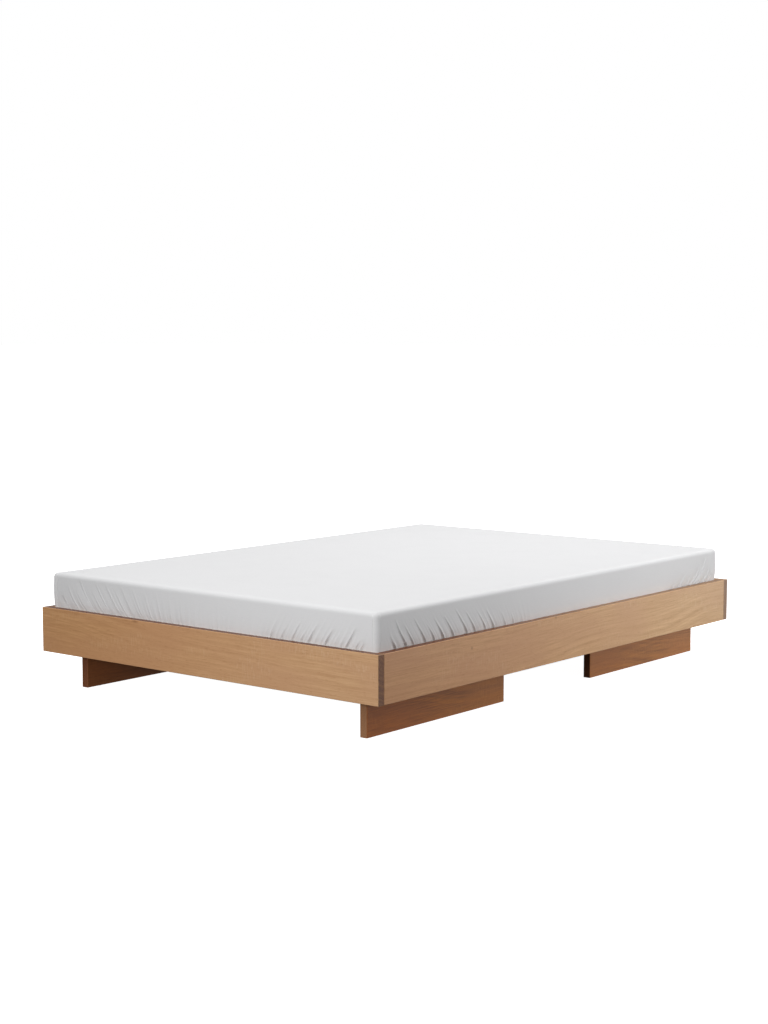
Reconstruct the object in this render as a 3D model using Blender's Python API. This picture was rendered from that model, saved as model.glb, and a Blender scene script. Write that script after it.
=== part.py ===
"""Wooden bed frame with a slatted base, and a mattress in a fitted sheet that lifts out of it.

The origin is on the floor, under the middle of the bed. +X is the width, +Y runs to the head end, +Z is up.
"""

import math

import bmesh
import bpy
from mathutils import Vector

# Driving dimensions, in metres
MATTRESS_WIDTH = 1.400  # nominal, the clear width between the side boards
MATTRESS_LENGTH = 2.000  # nominal, the clear length between the end boards
BOARD_THICKNESS = 0.027
BOARD_HEIGHT = 0.150
FLOOR_CLEARANCE = 0.122  # from the floor to the boards' lower edge
BOARD_EDGE = 0.001  # small chamfer on the boards' edges

LEG_THICKNESS = 0.027
LEG_LENGTH = 0.695  # along the bed
LEG_SIDE_INSET = 0.106  # from a side board's outer face to the leg panel's outer face
LEG_END_INSET = 0.077  # from an end board's outer face to the leg panel's end
LEG_EDGE_RADIUS = 0.003

SLAT_COUNT = 16
SLAT_PITCH = 0.123
SLAT_WIDTH = 0.080
SLAT_THICKNESS = 0.020
SLAT_RECESS = 0.064  # from the boards' top edge down to the slats' top
SLAT_EDGE = 0.002
SLAT_END_PLAY = 0.003

STRIP_WIDTH = 0.027  # ledger strips, bearers and centre beam are sawn from one stock thickness
LEDGER_HEIGHT = 0.040
LEDGER_LENGTH = 1.870
BEAM_HEIGHT = 0.060
BEARER_END_INSET = 0.105  # of the outer bearer's middle, from the leg panel's end
BEARER_INNER_INSET = 0.100  # of the inner bearer's middle, from the leg panel's other end

BRACKET_LEG = 0.060
BRACKET_HEIGHT = 0.061
BRACKET_THICKNESS = 0.003
BRACKET_RISE = 0.003  # above the boards' lower edge
BRACKET_CHAMFER = 0.006
BOLT_OFFSET = 0.036  # of the bolt's axis, from the inside corner
BOLT_STAGGER = 0.007  # the two bolts of a corner pass at different heights
BOLT_SHANK_RADIUS = 0.0038
BOLT_DEPTH = 0.018
BOLT_HEAD_RADIUS = 0.0070
BOLT_HEAD_HEIGHT = 0.0045
BOLT_HEAD_TAPER = 0.72  # the head's top, as a share of its widest
BOLT_SOCKET_RADIUS = 0.0030
BOLT_SOCKET_DEPTH = 0.0025
BOLT_SIDES = 12  # two for each flat of the socket

HANGER_THICKNESS = 0.0025
HANGER_DEPTH = 0.035
HANGER_HEIGHT = 0.045

GLIDE_RADIUS = 0.010
GLIDE_PROUD = 0.0015  # of the leg panel's bottom edge
GLIDE_RECESS = 0.004
GLIDE_INSET = 0.060  # from the leg panel's end

TAPE_WIDTH = 0.025
TAPE_THICKNESS = 0.001
TAPE_OFFSET = 0.450  # from the middle of the bed
TAPE_END_INSET = 0.008  # of the tape's end, from the outer slat's edge

MATTRESS_TOP = 0.388
MATTRESS_PLAY = 0.0015  # from the sheet to the boards, all round
MATTRESS_CORNER = 0.020
MATTRESS_TOP_RADIUS = 0.016
MATTRESS_BOTTOM_RADIUS = 0.010
SHEET_THICKNESS = 0.0012
SHEET_TUCK = 0.100  # how far the sheet reaches under the mattress

GAP = 0.0003  # between pieces that touch
SHARP_ANGLE = math.radians(35)  # edges that turn more than this stay crisp

# Worked out from them
HALF_WIDTH = MATTRESS_WIDTH / 2 + BOARD_THICKNESS
HALF_LENGTH = MATTRESS_LENGTH / 2 + BOARD_THICKNESS
BOARD_MIDDLE = FLOOR_CLEARANCE + BOARD_HEIGHT / 2
SUPPORT_TOP = FLOOR_CLEARANCE + BOARD_HEIGHT - SLAT_RECESS - SLAT_THICKNESS
BEAM_BOTTOM = SUPPORT_TOP - BEAM_HEIGHT
HALVING = SUPPORT_TOP - BEAM_HEIGHT / 2  # height at which crossing bars are halved
LEDGER_FACE = MATTRESS_WIDTH / 2 - STRIP_WIDTH
LEG_MIDDLE_X = HALF_WIDTH - LEG_SIDE_INSET - LEG_THICKNESS / 2
LEG_OUTER_Y = HALF_LENGTH - LEG_END_INSET
LEG_MIDDLE_Y = LEG_OUTER_Y - LEG_LENGTH / 2
OUTER_BEARER_Y = LEG_OUTER_Y - BEARER_END_INSET
INNER_BEARER_Y = LEG_OUTER_Y - LEG_LENGTH + BEARER_INNER_INSET
SLAT_BOTTOM = SUPPORT_TOP + GAP
TAPE_BOTTOM = SLAT_BOTTOM + SLAT_THICKNESS + GAP
SHEET_BOTTOM = TAPE_BOTTOM + TAPE_THICKNESS + GAP
NOTCH_WIDTH = STRIP_WIDTH + 2 * GAP

ENDS = {"head": 1, "foot": -1}
SIDES = {"right": 1, "left": -1}


def clear_scene():
    for thing in list(bpy.data.objects):
        bpy.data.objects.remove(thing, do_unlink=True)


def material(name, color, roughness, metallic=0.0):
    """A Principled material, made once for each name."""
    made = bpy.data.materials.get(name)
    if made is None:
        made = bpy.data.materials.new(name)
        made.use_nodes = True
        shader = made.node_tree.nodes["Principled BSDF"]
        shader.inputs["Base Color"].default_value = (*color, 1.0)
        shader.inputs["Roughness"].default_value = roughness
        shader.inputs["Metallic"].default_value = metallic
    return made


def oak():
    return material("oiled_oak", (0.40, 0.25, 0.14), 0.45)


def softwood():
    return material("planed_softwood", (0.58, 0.42, 0.25), 0.55)


def zinc_steel():
    return material("zinc_plated_steel", (0.60, 0.61, 0.62), 0.35, 1.0)


def nylon():
    return material("nylon_glide", (0.10, 0.09, 0.08), 0.5)


def webbing():
    return material("slat_tape_webbing", (0.72, 0.70, 0.66), 0.9)


def foam():
    return material("mattress_foam", (0.85, 0.83, 0.78), 0.95)


def cotton():
    return material("white_cotton", (0.90, 0.90, 0.89), 0.85)


def place(name, mesh, location, finish, parent=None):
    """An object of this mesh. With a parent, the location is counted from the parent."""
    thing = bpy.data.objects.new(name, mesh)
    bpy.context.scene.collection.objects.link(thing)
    thing.location = location
    thing.parent = parent
    if finish is not None and not mesh.materials:
        mesh.materials.append(finish)
    return thing


def mesh_of(name, shape):
    bmesh.ops.recalc_face_normals(shape, faces=shape.faces)
    mesh = bpy.data.meshes.new(name)
    shape.to_mesh(mesh)
    shape.free()
    soften(mesh)
    return mesh


def soften(mesh):
    """Shades the rounded faces smooth and keeps the edges between flat ones sharp."""
    mesh.shade_smooth()
    mesh.set_sharp_from_angle(angle=SHARP_ANGLE)


def box_mesh(name, size, edge=0.0, segments=1, along=None):
    """A box about its own middle. edge is the width taken off its edges, or off those along one axis only."""
    shape = bmesh.new()
    bmesh.ops.create_cube(shape, size=1.0)
    bmesh.ops.scale(shape, vec=size, verts=shape.verts)
    if edge:
        edges = shape.edges[:]
        if along is not None:
            edges = [e for e in edges if abs((e.verts[0].co - e.verts[1].co)[along]) > edge]
        bmesh.ops.bevel(shape, geom=edges, offset=edge, segments=segments, affect="EDGES", profile=0.5)
    return mesh_of(name, shape)


def prism_mesh(name, outline, thickness, axis):
    """A closed outline pushed out along axis (0 or 1), half to each side. Its points are (along, up)."""
    shape = bmesh.new()
    start = -thickness / 2
    if axis == 0:
        corners = [shape.verts.new((start, along, up)) for along, up in outline]
    else:
        corners = [shape.verts.new((along, start, up)) for along, up in outline]
    face = shape.faces.new(corners)
    pushed = bmesh.ops.extrude_face_region(shape, geom=[face])
    moved = [v for v in pushed["geom"] if isinstance(v, bmesh.types.BMVert)]
    push = Vector((0.0, 0.0, 0.0))
    push[axis] = thickness
    bmesh.ops.translate(shape, vec=push, verts=moved)
    return mesh_of(name, shape)


def cylinder_mesh(name, radius, depth, sides=24):
    shape = bmesh.new()
    bmesh.ops.create_cone(
        shape, cap_ends=True, segments=sides, radius1=radius, radius2=radius, depth=depth
    )
    return mesh_of(name, shape)


def cutter(name, mesh, location, turn=None):
    """A helper that only cuts other pieces."""
    tool = place(name, mesh, location, None)
    if turn is not None:
        tool.rotation_mode = "QUATERNION"
        tool.rotation_quaternion = turn
    tool.hide_render = True
    tool.display_type = "WIRE"
    return tool


def cut(thing, tool):
    boolean = thing.modifiers.new(tool.name, "BOOLEAN")
    boolean.operation = "DIFFERENCE"
    boolean.solver = "EXACT"
    boolean.object = tool


def notched_bar(half_length, bottom, top, lower=(), upper=(), tongue=None):
    """The outline of a bar seen from its side. lower and upper are the middles of the notches cut halfway
    into it from below and from above. tongue is (where the ends step down, the height of its top)."""
    half = NOTCH_WIDTH / 2
    points = [(-half_length, bottom)]
    for at in sorted(lower):
        points += [(at - half, bottom), (at - half, HALVING + GAP / 2)]
        points += [(at + half, HALVING + GAP / 2), (at + half, bottom)]
    points.append((half_length, bottom))
    if tongue:
        points += [(half_length, tongue[1]), (tongue[0], tongue[1]), (tongue[0], top)]
    else:
        points.append((half_length, top))
    for at in sorted(upper, reverse=True):
        points += [(at + half, top), (at + half, HALVING - GAP / 2)]
        points += [(at - half, HALVING - GAP / 2), (at - half, top)]
    if tongue:
        points += [(-tongue[0], top), (-tongue[0], tongue[1]), (-half_length, tongue[1])]
    else:
        points.append((-half_length, top))
    return points


def make_boards():
    """The four boards of the frame. The end boards run over the side boards' ends."""
    boards = {}
    end_size = (2 * HALF_WIDTH, BOARD_THICKNESS, BOARD_HEIGHT)
    side_size = (BOARD_THICKNESS, MATTRESS_LENGTH - 2 * GAP, BOARD_HEIGHT)
    for end, way in ENDS.items():
        name = f"{end}_end_board"
        at = (0.0, way * (HALF_LENGTH - BOARD_THICKNESS / 2), BOARD_MIDDLE)
        boards[end] = place(name, box_mesh(name, end_size, BOARD_EDGE), at, oak())
    for side, way in SIDES.items():
        name = f"{side}_side_board"
        at = (way * (HALF_WIDTH - BOARD_THICKNESS / 2), 0.0, BOARD_MIDDLE)
        boards[side] = place(name, box_mesh(name, side_size, BOARD_EDGE), at, oak())
    return boards


def bracket_mesh(name, x_way, y_way):
    """A steel angle seen from above, its outer corner at the origin and its legs along x_way and y_way."""
    leg, thick, trim = BRACKET_LEG, BRACKET_THICKNESS, BRACKET_CHAMFER
    outline = [(0, 0), (leg, 0), (leg, thick), (thick, thick), (thick, leg), (0, leg)]
    shape = bmesh.new()
    low = [shape.verts.new((x_way * x, y_way * y, -BRACKET_HEIGHT / 2)) for x, y in outline]
    face = shape.faces.new(low)
    pushed = bmesh.ops.extrude_face_region(shape, geom=[face])
    moved = [v for v in pushed["geom"] if isinstance(v, bmesh.types.BMVert)]
    bmesh.ops.translate(shape, vec=(0, 0, BRACKET_HEIGHT), verts=moved)
    ends = [e for e in shape.edges if is_leg_end(e)]
    bmesh.ops.bevel(shape, geom=ends, offset=trim, segments=1, affect="EDGES")
    return mesh_of(name, shape)


def is_leg_end(edge):
    """True for the short edges across the thickness, at the top and bottom corners of a bracket's legs."""
    first, second = edge.verts[0].co, edge.verts[1].co
    across = (first - second).length < 2 * BRACKET_THICKNESS
    far = max(abs(first.x), abs(first.y)) > BRACKET_LEG - BRACKET_THICKNESS
    return across and far and abs(first.z - second.z) < BRACKET_THICKNESS / 2


def bolt_mesh(name):
    """A button-head bolt along +Z, the underside of its head at the origin, with a hexagonal socket."""
    shape = bmesh.new()
    rings = [
        (BOLT_SHANK_RADIUS, -BOLT_DEPTH - BRACKET_THICKNESS),
        (BOLT_SHANK_RADIUS, 0.0),
        (BOLT_HEAD_RADIUS, 0.0),
        (BOLT_HEAD_RADIUS, BOLT_HEAD_HEIGHT / 2),
        (BOLT_HEAD_RADIUS * BOLT_HEAD_TAPER, BOLT_HEAD_HEIGHT),
        (BOLT_SOCKET_RADIUS, BOLT_HEAD_HEIGHT),
        (BOLT_SOCKET_RADIUS, BOLT_HEAD_HEIGHT - BOLT_SOCKET_DEPTH),
    ]
    made = []
    for radius, height in rings:
        ring = []
        for k in range(BOLT_SIDES):
            turn = 2 * math.pi * k / BOLT_SIDES
            # In the socket every second point lies on a flat of the hexagon.
            flat = math.cos(math.pi / 6) if radius == BOLT_SOCKET_RADIUS and k % 2 else 1.0
            ring.append(
                shape.verts.new((radius * flat * math.cos(turn), radius * flat * math.sin(turn), height))
            )
        made.append(ring)
    for lower, upper in zip(made, made[1:]):
        for k in range(BOLT_SIDES):
            nxt = (k + 1) % BOLT_SIDES
            shape.faces.new((lower[k], lower[nxt], upper[nxt], upper[k]))
    shape.faces.new(list(reversed(made[0])))
    shape.faces.new(made[-1])
    return mesh_of(name, shape)


def make_corners(boards):
    """A steel angle in each inside corner, with one bolt into the side board and one into the end board."""
    middle = FLOOR_CLEARANCE + BRACKET_RISE + BRACKET_HEIGHT / 2
    for end, y_way in ENDS.items():
        for side, x_way in SIDES.items():
            name = f"corner_bracket_{end}_{side}"
            corner = Vector(
                (x_way * (MATTRESS_WIDTH / 2 - GAP), y_way * (MATTRESS_LENGTH / 2 - 2 * GAP), middle)
            )
            bracket = place(name, bracket_mesh(name, -x_way, -y_way), corner, zinc_steel())
            spots = {
                side: (Vector((0, -y_way * BOLT_OFFSET, BOLT_STAGGER)), Vector((-x_way, 0, 0))),
                end: (Vector((-x_way * BOLT_OFFSET, 0, -BOLT_STAGGER)), Vector((0, -y_way, 0))),
            }
            for board, (offset, out) in spots.items():
                kind = "side" if board == side else "end"
                turn = out.to_track_quat("Z", "Y")
                seat = corner + offset + out * (BRACKET_THICKNESS + GAP)
                bolt_name = f"bolt_{end}_{side}_{kind}"
                bolt = place(bolt_name, bolt_mesh(bolt_name), seat, zinc_steel())
                bolt.rotation_mode = "QUATERNION"
                bolt.rotation_quaternion = turn
                hole_depth = 2 * (BOLT_DEPTH + BRACKET_THICKNESS + 2 * GAP)
                hole = cutter(
                    f"cut_{bolt_name}",
                    cylinder_mesh(f"cut_{bolt_name}", BOLT_SHANK_RADIUS + GAP, hole_depth, BOLT_SIDES),
                    seat,
                    turn,
                )
                cut(bracket, hole)
                cut(boards[board], hole)


def make_ledgers():
    """Strips on the side boards' inner faces, which carry the ends of the slats."""
    size = (STRIP_WIDTH - GAP, LEDGER_LENGTH, LEDGER_HEIGHT)
    for side, way in SIDES.items():
        name = f"ledger_strip_{side}"
        at = (way * (LEDGER_FACE + (STRIP_WIDTH - GAP) / 2), 0.0, SUPPORT_TOP - LEDGER_HEIGHT / 2)
        place(name, box_mesh(name, size, BOARD_EDGE), at, softwood())


def make_centre_beam():
    """The beam under the middle of the slats, halved from below over each cross bearer."""
    half_length = MATTRESS_LENGTH / 2 - HANGER_THICKNESS - 3 * GAP
    notches = [s * y for s in (-1, 1) for y in (INNER_BEARER_Y, OUTER_BEARER_Y)]
    outline = notched_bar(half_length, BEAM_BOTTOM, SUPPORT_TOP, lower=notches)
    place("centre_beam", prism_mesh("centre_beam", outline, STRIP_WIDTH, 0), (0, 0, 0), softwood())


def make_beam_hangers():
    """A pressed steel cup on each end board, in which the centre beam's end sits."""
    for end, way in ENDS.items():
        name = f"beam_hanger_{end}"
        bottom = BEAM_BOTTOM - GAP - HANGER_THICKNESS
        width = STRIP_WIDTH + 2 * (GAP + HANGER_THICKNESS)
        back = MATTRESS_LENGTH / 2 - GAP
        at = (0.0, way * (back - HANGER_DEPTH / 2), bottom + HANGER_HEIGHT / 2)
        hanger = place(
            name, box_mesh(name, (width, HANGER_DEPTH, HANGER_HEIGHT)), at, zinc_steel()
        )
        seat_size = (STRIP_WIDTH + 2 * GAP, HANGER_DEPTH, HANGER_HEIGHT)
        seat = cutter(
            f"cut_{name}",
            box_mesh(f"cut_{name}", seat_size),
            (0.0, at[1] - way * HANGER_THICKNESS, at[2] + HANGER_THICKNESS),
        )
        cut(hanger, seat)


def make_cross_bearers():
    """Bars across the bed, halved over the leg panels and under the centre beam. Their ends are stepped
    down to pass under the ledger strips."""
    half_length = MATTRESS_WIDTH / 2 - GAP
    step = (LEDGER_FACE - GAP, SUPPORT_TOP - LEDGER_HEIGHT - GAP)
    outline = notched_bar(
        half_length,
        BEAM_BOTTOM,
        SUPPORT_TOP,
        lower=[-LEG_MIDDLE_X, LEG_MIDDLE_X],
        upper=[0.0],
        tongue=step,
    )
    places = {"inner": INNER_BEARER_Y, "outer": OUTER_BEARER_Y}
    for end, way in ENDS.items():
        for row, y in places.items():
            name = f"cross_bearer_{end}_{row}"
            place(name, prism_mesh(name, outline, STRIP_WIDTH, 1), (0, way * y, 0), softwood())


def leg_panel_mesh(name, way):
    """An upright board along the bed, with a notch in its top edge for each cross bearer."""
    middle = way * LEG_MIDDLE_Y
    notches = [way * y - middle for y in (INNER_BEARER_Y, OUTER_BEARER_Y)]
    outline = notched_bar(LEG_LENGTH / 2, GLIDE_PROUD, SUPPORT_TOP, upper=notches)
    mesh = prism_mesh(name, outline, LEG_THICKNESS, 0)
    shape = bmesh.new()
    shape.from_mesh(mesh)
    upright = [e for e in shape.edges if is_leg_corner(e)]
    bmesh.ops.bevel(
        shape, geom=upright, offset=LEG_EDGE_RADIUS, segments=4, affect="EDGES", profile=0.5
    )
    shape.to_mesh(mesh)
    shape.free()
    soften(mesh)
    return mesh


def is_leg_corner(edge):
    """True for the four upright edges at the ends of a leg panel."""
    first, second = edge.verts[0].co, edge.verts[1].co
    return abs(first.z - second.z) > BEAM_HEIGHT and abs(first.y) > LEG_LENGTH / 2 - GAP


def make_leg_panels():
    """The four leg panels, each on two floor glides let into its bottom edge."""
    glide_height = GLIDE_PROUD + GLIDE_RECESS - GAP
    for end, y_way in ENDS.items():
        for side, x_way in SIDES.items():
            name = f"leg_panel_{end}_{side}"
            at = Vector((x_way * LEG_MIDDLE_X, y_way * LEG_MIDDLE_Y, 0.0))
            panel = place(name, leg_panel_mesh(name, y_way), at, oak())
            for row, way in (("inner", -1), ("outer", 1)):
                glide = f"floor_glide_{end}_{side}_{row}"
                spot = at + Vector((0, y_way * way * (LEG_LENGTH / 2 - GLIDE_INSET), 0))
                up = Vector((0, 0, glide_height / 2))
                place(glide, cylinder_mesh(glide, GLIDE_RADIUS, glide_height), spot + up, nylon())
                recess = cutter(
                    f"cut_{glide}",
                    cylinder_mesh(f"cut_{glide}", GLIDE_RADIUS + GAP, 2 * GLIDE_RECESS),
                    spot + Vector((0, 0, GLIDE_PROUD)),
                )
                cut(panel, recess)


def make_slats():
    """The slats, from the foot end to the head end, and the two tapes that hold their spacing."""
    size = (MATTRESS_WIDTH - 2 * SLAT_END_PLAY, SLAT_WIDTH, SLAT_THICKNESS)
    first = -SLAT_PITCH * (SLAT_COUNT - 1) / 2
    for k in range(SLAT_COUNT):
        name = f"slat_{k + 1:02d}"
        at = (0.0, first + k * SLAT_PITCH, SLAT_BOTTOM + SLAT_THICKNESS / 2)
        place(name, box_mesh(name, size, SLAT_EDGE, 2, along=0), at, softwood())
    tape_size = (TAPE_WIDTH, -2 * first + SLAT_WIDTH - 2 * TAPE_END_INSET, TAPE_THICKNESS)
    for side, way in SIDES.items():
        name = f"slat_tape_{side}"
        at = (way * TAPE_OFFSET, 0.0, TAPE_BOTTOM + TAPE_THICKNESS / 2)
        place(name, box_mesh(name, tape_size), at, webbing())


def rounded_ring(shape, inset, height, corner_steps=5):
    """A closed ring of points round the mattress at one height, inset from its widest outline."""
    half_x = MATTRESS_WIDTH / 2 - MATTRESS_PLAY - inset
    half_y = MATTRESS_LENGTH / 2 - MATTRESS_PLAY - inset
    radius = max(MATTRESS_CORNER - inset, SHEET_THICKNESS)
    ring = []
    for quarter in range(4):
        way_x = 1 if quarter in (0, 3) else -1
        way_y = 1 if quarter in (0, 1) else -1
        centre = Vector((way_x * (half_x - radius), way_y * (half_y - radius), height))
        for k in range(corner_steps):
            turn = (quarter + k / (corner_steps - 1)) * math.pi / 2
            ring.append(shape.verts.new(centre + radius * Vector((math.cos(turn), math.sin(turn), 0))))
    return ring


def bridge(shape, first, second):
    for k in range(len(first)):
        nxt = (k + 1) % len(first)
        shape.faces.new((first[k], first[nxt], second[nxt], second[k]))


def mattress_section(depth, bottom, top, steps=4):
    """(inset, height) of the side of the mattress, from its bottom to its top, depth inside its outside."""
    points = []
    low, high = MATTRESS_BOTTOM_RADIUS - depth, MATTRESS_TOP_RADIUS - depth
    for k in range(steps + 1):
        turn = k / steps * math.pi / 2
        points.append((depth + low * (1 - math.sin(turn)), bottom + low * (1 - math.cos(turn))))
    for k in range(steps + 1):
        turn = k / steps * math.pi / 2
        points.append((depth + high * (1 - math.cos(turn)), top - high * (1 - math.sin(turn))))
    return points


def make_mattress():
    """The mattress core and its fitted sheet, on an empty that stands where the mattress lifts from."""
    lift = bpy.data.objects.new("mattress_lift", None)
    bpy.context.scene.collection.objects.link(lift)
    lift.location = (0.0, 0.0, SHEET_BOTTOM)
    height = MATTRESS_TOP - SHEET_BOTTOM

    core_depth = SHEET_THICKNESS + GAP
    core = bmesh.new()
    rings = [
        rounded_ring(core, *point)
        for point in mattress_section(core_depth, core_depth, height - core_depth)
    ]
    for first, second in zip(rings, rings[1:]):
        bridge(core, first, second)
    core.faces.new(list(reversed(rings[0])))
    core.faces.new(rings[-1])
    place("mattress_core", mesh_of("mattress_core", core), (0, 0, 0), foam(), lift)

    sheet = bmesh.new()
    outer = [rounded_ring(sheet, SHEET_TUCK, 0.0)]
    outer += [rounded_ring(sheet, *point) for point in mattress_section(0.0, 0.0, height)]
    inner = [rounded_ring(sheet, SHEET_TUCK, SHEET_THICKNESS)]
    inner += [
        rounded_ring(sheet, *point)
        for point in mattress_section(SHEET_THICKNESS, SHEET_THICKNESS, height - SHEET_THICKNESS)
    ]
    for rings in (outer, inner):
        for first, second in zip(rings, rings[1:]):
            bridge(sheet, first, second)
        sheet.faces.new(rings[-1])
    bridge(sheet, outer[0], inner[0])
    place("fitted_sheet", mesh_of("fitted_sheet", sheet), (0, 0, 0), cotton(), lift)


def main():
    clear_scene()
    boards = make_boards()
    make_corners(boards)
    make_ledgers()
    make_centre_beam()
    make_beam_hangers()
    make_cross_bearers()
    make_leg_panels()
    make_slats()
    make_mattress()


main()
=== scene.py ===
import math

import bpy
import numpy as np
from mathutils import Matrix, Vector


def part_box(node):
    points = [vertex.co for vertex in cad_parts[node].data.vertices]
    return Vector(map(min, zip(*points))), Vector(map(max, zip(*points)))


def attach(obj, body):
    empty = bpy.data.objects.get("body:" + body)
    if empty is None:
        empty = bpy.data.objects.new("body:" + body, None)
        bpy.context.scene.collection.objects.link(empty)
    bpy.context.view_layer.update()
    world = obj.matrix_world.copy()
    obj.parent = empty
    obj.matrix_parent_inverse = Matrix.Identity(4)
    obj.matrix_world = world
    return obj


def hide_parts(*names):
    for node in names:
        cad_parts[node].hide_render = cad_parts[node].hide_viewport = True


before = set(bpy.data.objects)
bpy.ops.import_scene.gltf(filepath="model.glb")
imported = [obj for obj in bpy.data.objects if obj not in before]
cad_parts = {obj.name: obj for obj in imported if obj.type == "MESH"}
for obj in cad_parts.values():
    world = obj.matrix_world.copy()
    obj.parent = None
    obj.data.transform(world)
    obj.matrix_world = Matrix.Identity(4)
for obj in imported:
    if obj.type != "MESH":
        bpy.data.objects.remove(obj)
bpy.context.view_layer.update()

bl_info = {
    "name": "Platform Bed Finish",
    "version": (1, 0, 0),
    "blender": (4, 5, 0),
    "location": "View3D > Sidebar > Bed",
    "description": "Wood, fittings, mattress, fitted sheet and studio for a low slatted platform bed",
    "category": "Object",
}

MM = 0.001
SHEET_LOW, SHEET_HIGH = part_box("fitted_sheet")
BOARD_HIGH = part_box("right_side_board")[1]
END_NAMES = ("head", "foot")
SIDE_NAMES = ("right", "left")
SLAT_NAMES = [name for name in sorted(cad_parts) if name.startswith("slat_") and "tape" not in name]
GRAIN_X, GRAIN_Y = 0, 1


def srgb(text):
    """A colour written as sRGB hex, as linear red, green and blue."""
    values = [int(text[k:k + 2], 16) / 255 for k in (0, 2, 4)]
    return tuple(v / 12.92 if v <= 0.04045 else ((v + 0.055) / 1.055) ** 2.4 for v in values)


# ---------------------------------------------------------------- settings


def length(name, description, default, low=0.0, high=3.0):
    return bpy.props.FloatProperty(
        name=name, description=description, default=default, min=low, max=high,
        subtype="DISTANCE", unit="LENGTH", precision=5,
    )


def share(name, description, default, low=0.0, high=1.0):
    return bpy.props.FloatProperty(
        name=name, description=description, default=default, min=low, max=high, subtype="FACTOR"
    )


def tint(name, description, default):
    return bpy.props.FloatVectorProperty(
        name=name, description=description, default=srgb(default), min=0.0, max=1.0,
        size=3, subtype="COLOR",
    )


class BedWoodSettings(bpy.types.PropertyGroup):
    light: tint("Pale Wood", "Early growth, between the darker bands", "E0B07E")
    dark: tint("Dark Wood", "Late growth, in the darker bands", "C59263")
    rose: tint("Rose Wood", "Broad warmer patches of the heartwood", "CF9C70")
    end_grain: tint("End Grain", "Sawn ends, which soak up more oil", "7F5843")
    ray: tint("Ray Fleck", "Pale flecks of the medullary rays", "E6C095")
    knot: tint("Pin Knot", "Middle of a pin knot", "8A5534")
    # Painted shade: top darkens the boards' upper edges in place of the shade between them and the sheet.
    top: tint("Upper Edge Shade", "Multiplies the colour of the boards' narrow upper edges", "88653F")
    # Painted shade: this darker, redder multiplier of the leg panels stands in for the shade they stand in,
    # back under the boards.
    leg: tint("Leg Shade", "Multiplies the colour of the leg panels, oiled darker", "D4AA88")
    leg_end: tint("Leg End Grain", "Sawn ends of the leg panels, sanded before oiling", "A67E60")
    band: length("Band Width", "Spacing of the visible growth bands across the grain", 11 * MM)
    fibre: length("Fibre Width", "Width of a fibre streak across the grain", 4.0 * MM)
    edge: length("Edge Wear", "How far the paler worn line reaches from an edge", 1.6 * MM)
    roughness: share("Roughness", "Roughness of the oiled surface", 0.42)


class BedBaseSettings(bpy.types.PropertyGroup):
    pale: tint("Pale Pine", "Early growth of the slats and bars", "DDBF94")
    amber: tint("Amber Pine", "Late growth of the slats and bars", "B98B5B")
    tape: tint("Tape", "Textile tape that spaces the slats", "D8D3C6")
    tape_sag: length("Tape Sag", "Dip of the tape between two slats", 1.6 * MM)
    thread: length("Tape Rib", "Spacing of the ribs woven into the tape", 1.8 * MM)
    staple: length("Staple Crown", "Length of a staple's crown", 10 * MM)
    staple_wire: length("Staple Wire", "Thickness of a staple's wire", 0.9 * MM)
    screw: length("Screw Head", "Width of a screw's head", 8.0 * MM)
    screw_height: length("Screw Head Height", "Height of a screw's head", 2.2 * MM)


class BedFittingSettings(bpy.types.PropertyGroup):
    zinc: tint("Zinc", "Bright zinc plating", "B9BBBE")
    zinc_warm: tint("Zinc Blush", "Warmer tone where the passivation is thicker", "B7AC9A")
    steel: tint("Screw Steel", "Yellow passivated screws", "B89A5E")
    glide: tint("Glide", "Moulded nylon of the floor glides", "3A332D")


class BedMattressSettings(bpy.types.PropertyGroup):
    ticking: tint("Ticking", "Knitted cover of the mattress", "E9E5DA")
    stripe: tint("Ticking Stripe", "Woven stripe of the border", "C9C6BC")
    inset: length("Sheet Room", "Room between the mattress and the smooth sheet", 12 * MM)
    piping: length("Piping", "Radius of the piping along the mattress's edges", 3 * MM)
    quilt: length("Quilting", "Spacing of the quilting seams", 90 * MM)
    quilt_depth: length("Quilting Depth", "Depth of the quilting seams", 3 * MM)


class BedSheetSettings(bpy.types.PropertyGroup):
    cotton: tint("Cotton", "White percale of the fitted sheet", "E6E6E7")
    crease: tint("Crease", "Tone deep in the gathers", "D2D2D4")
    corner: length("Corner Radius", "Radius of the upright corners", 17 * MM)
    shoulder: length("Shoulder Radius", "Radius between the sides and the top", 15 * MM)
    tuck: length("Tuck", "How far the sheet reaches under the mattress", 100 * MM)
    pocket: length("Pocket Depth", "Depth of the gathers' creases at the boards", 8.0 * MM)
    ridge: length("Ridge Height", "How far the gathers' ridges stand proud", 2.7 * MM)
    lean: share("Lean", "Slope of the gathers away from each corner", 1.0, 0.0, 1.5)
    thread: length("Thread Spacing", "Spacing of the threads of the weave", 1.1 * MM)


class BedStageSettings(bpy.types.PropertyGroup):
    floor: tint("Floor", "Pale studio floor", "F2F2F2")
    azimuth: bpy.props.FloatProperty(
        name="Azimuth", description="Camera's turn about the bed, 0 looks along +Y",
        default=math.radians(39.069), subtype="ANGLE", unit="ROTATION",
    )
    pitch: bpy.props.FloatProperty(
        name="Pitch", description="Camera's tilt below the horizon",
        default=math.radians(5.709), subtype="ANGLE", unit="ROTATION",
    )
    eye: bpy.props.FloatVectorProperty(
        name="Camera Place", description="Where the camera stands",
        default=(3.98081, -5.00905, 1.19677), size=3, subtype="TRANSLATION", unit="LENGTH",
    )
    lens: bpy.props.FloatProperty(
        name="Lens", description="Focal length", default=64.21, min=10.0, max=300.0,
        subtype="DISTANCE_CAMERA", unit="CAMERA",
    )
    zenith: share("Zenith", "Brightness of the studio straight above", 1.16, 0.0, 4.0)
    horizon: share("Horizon", "Brightness of the studio at the horizon", 0.26, 0.0, 4.0)
    underside: share("Underside", "Brightness that comes from below the horizon", 0.03, 0.0, 4.0)


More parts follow.
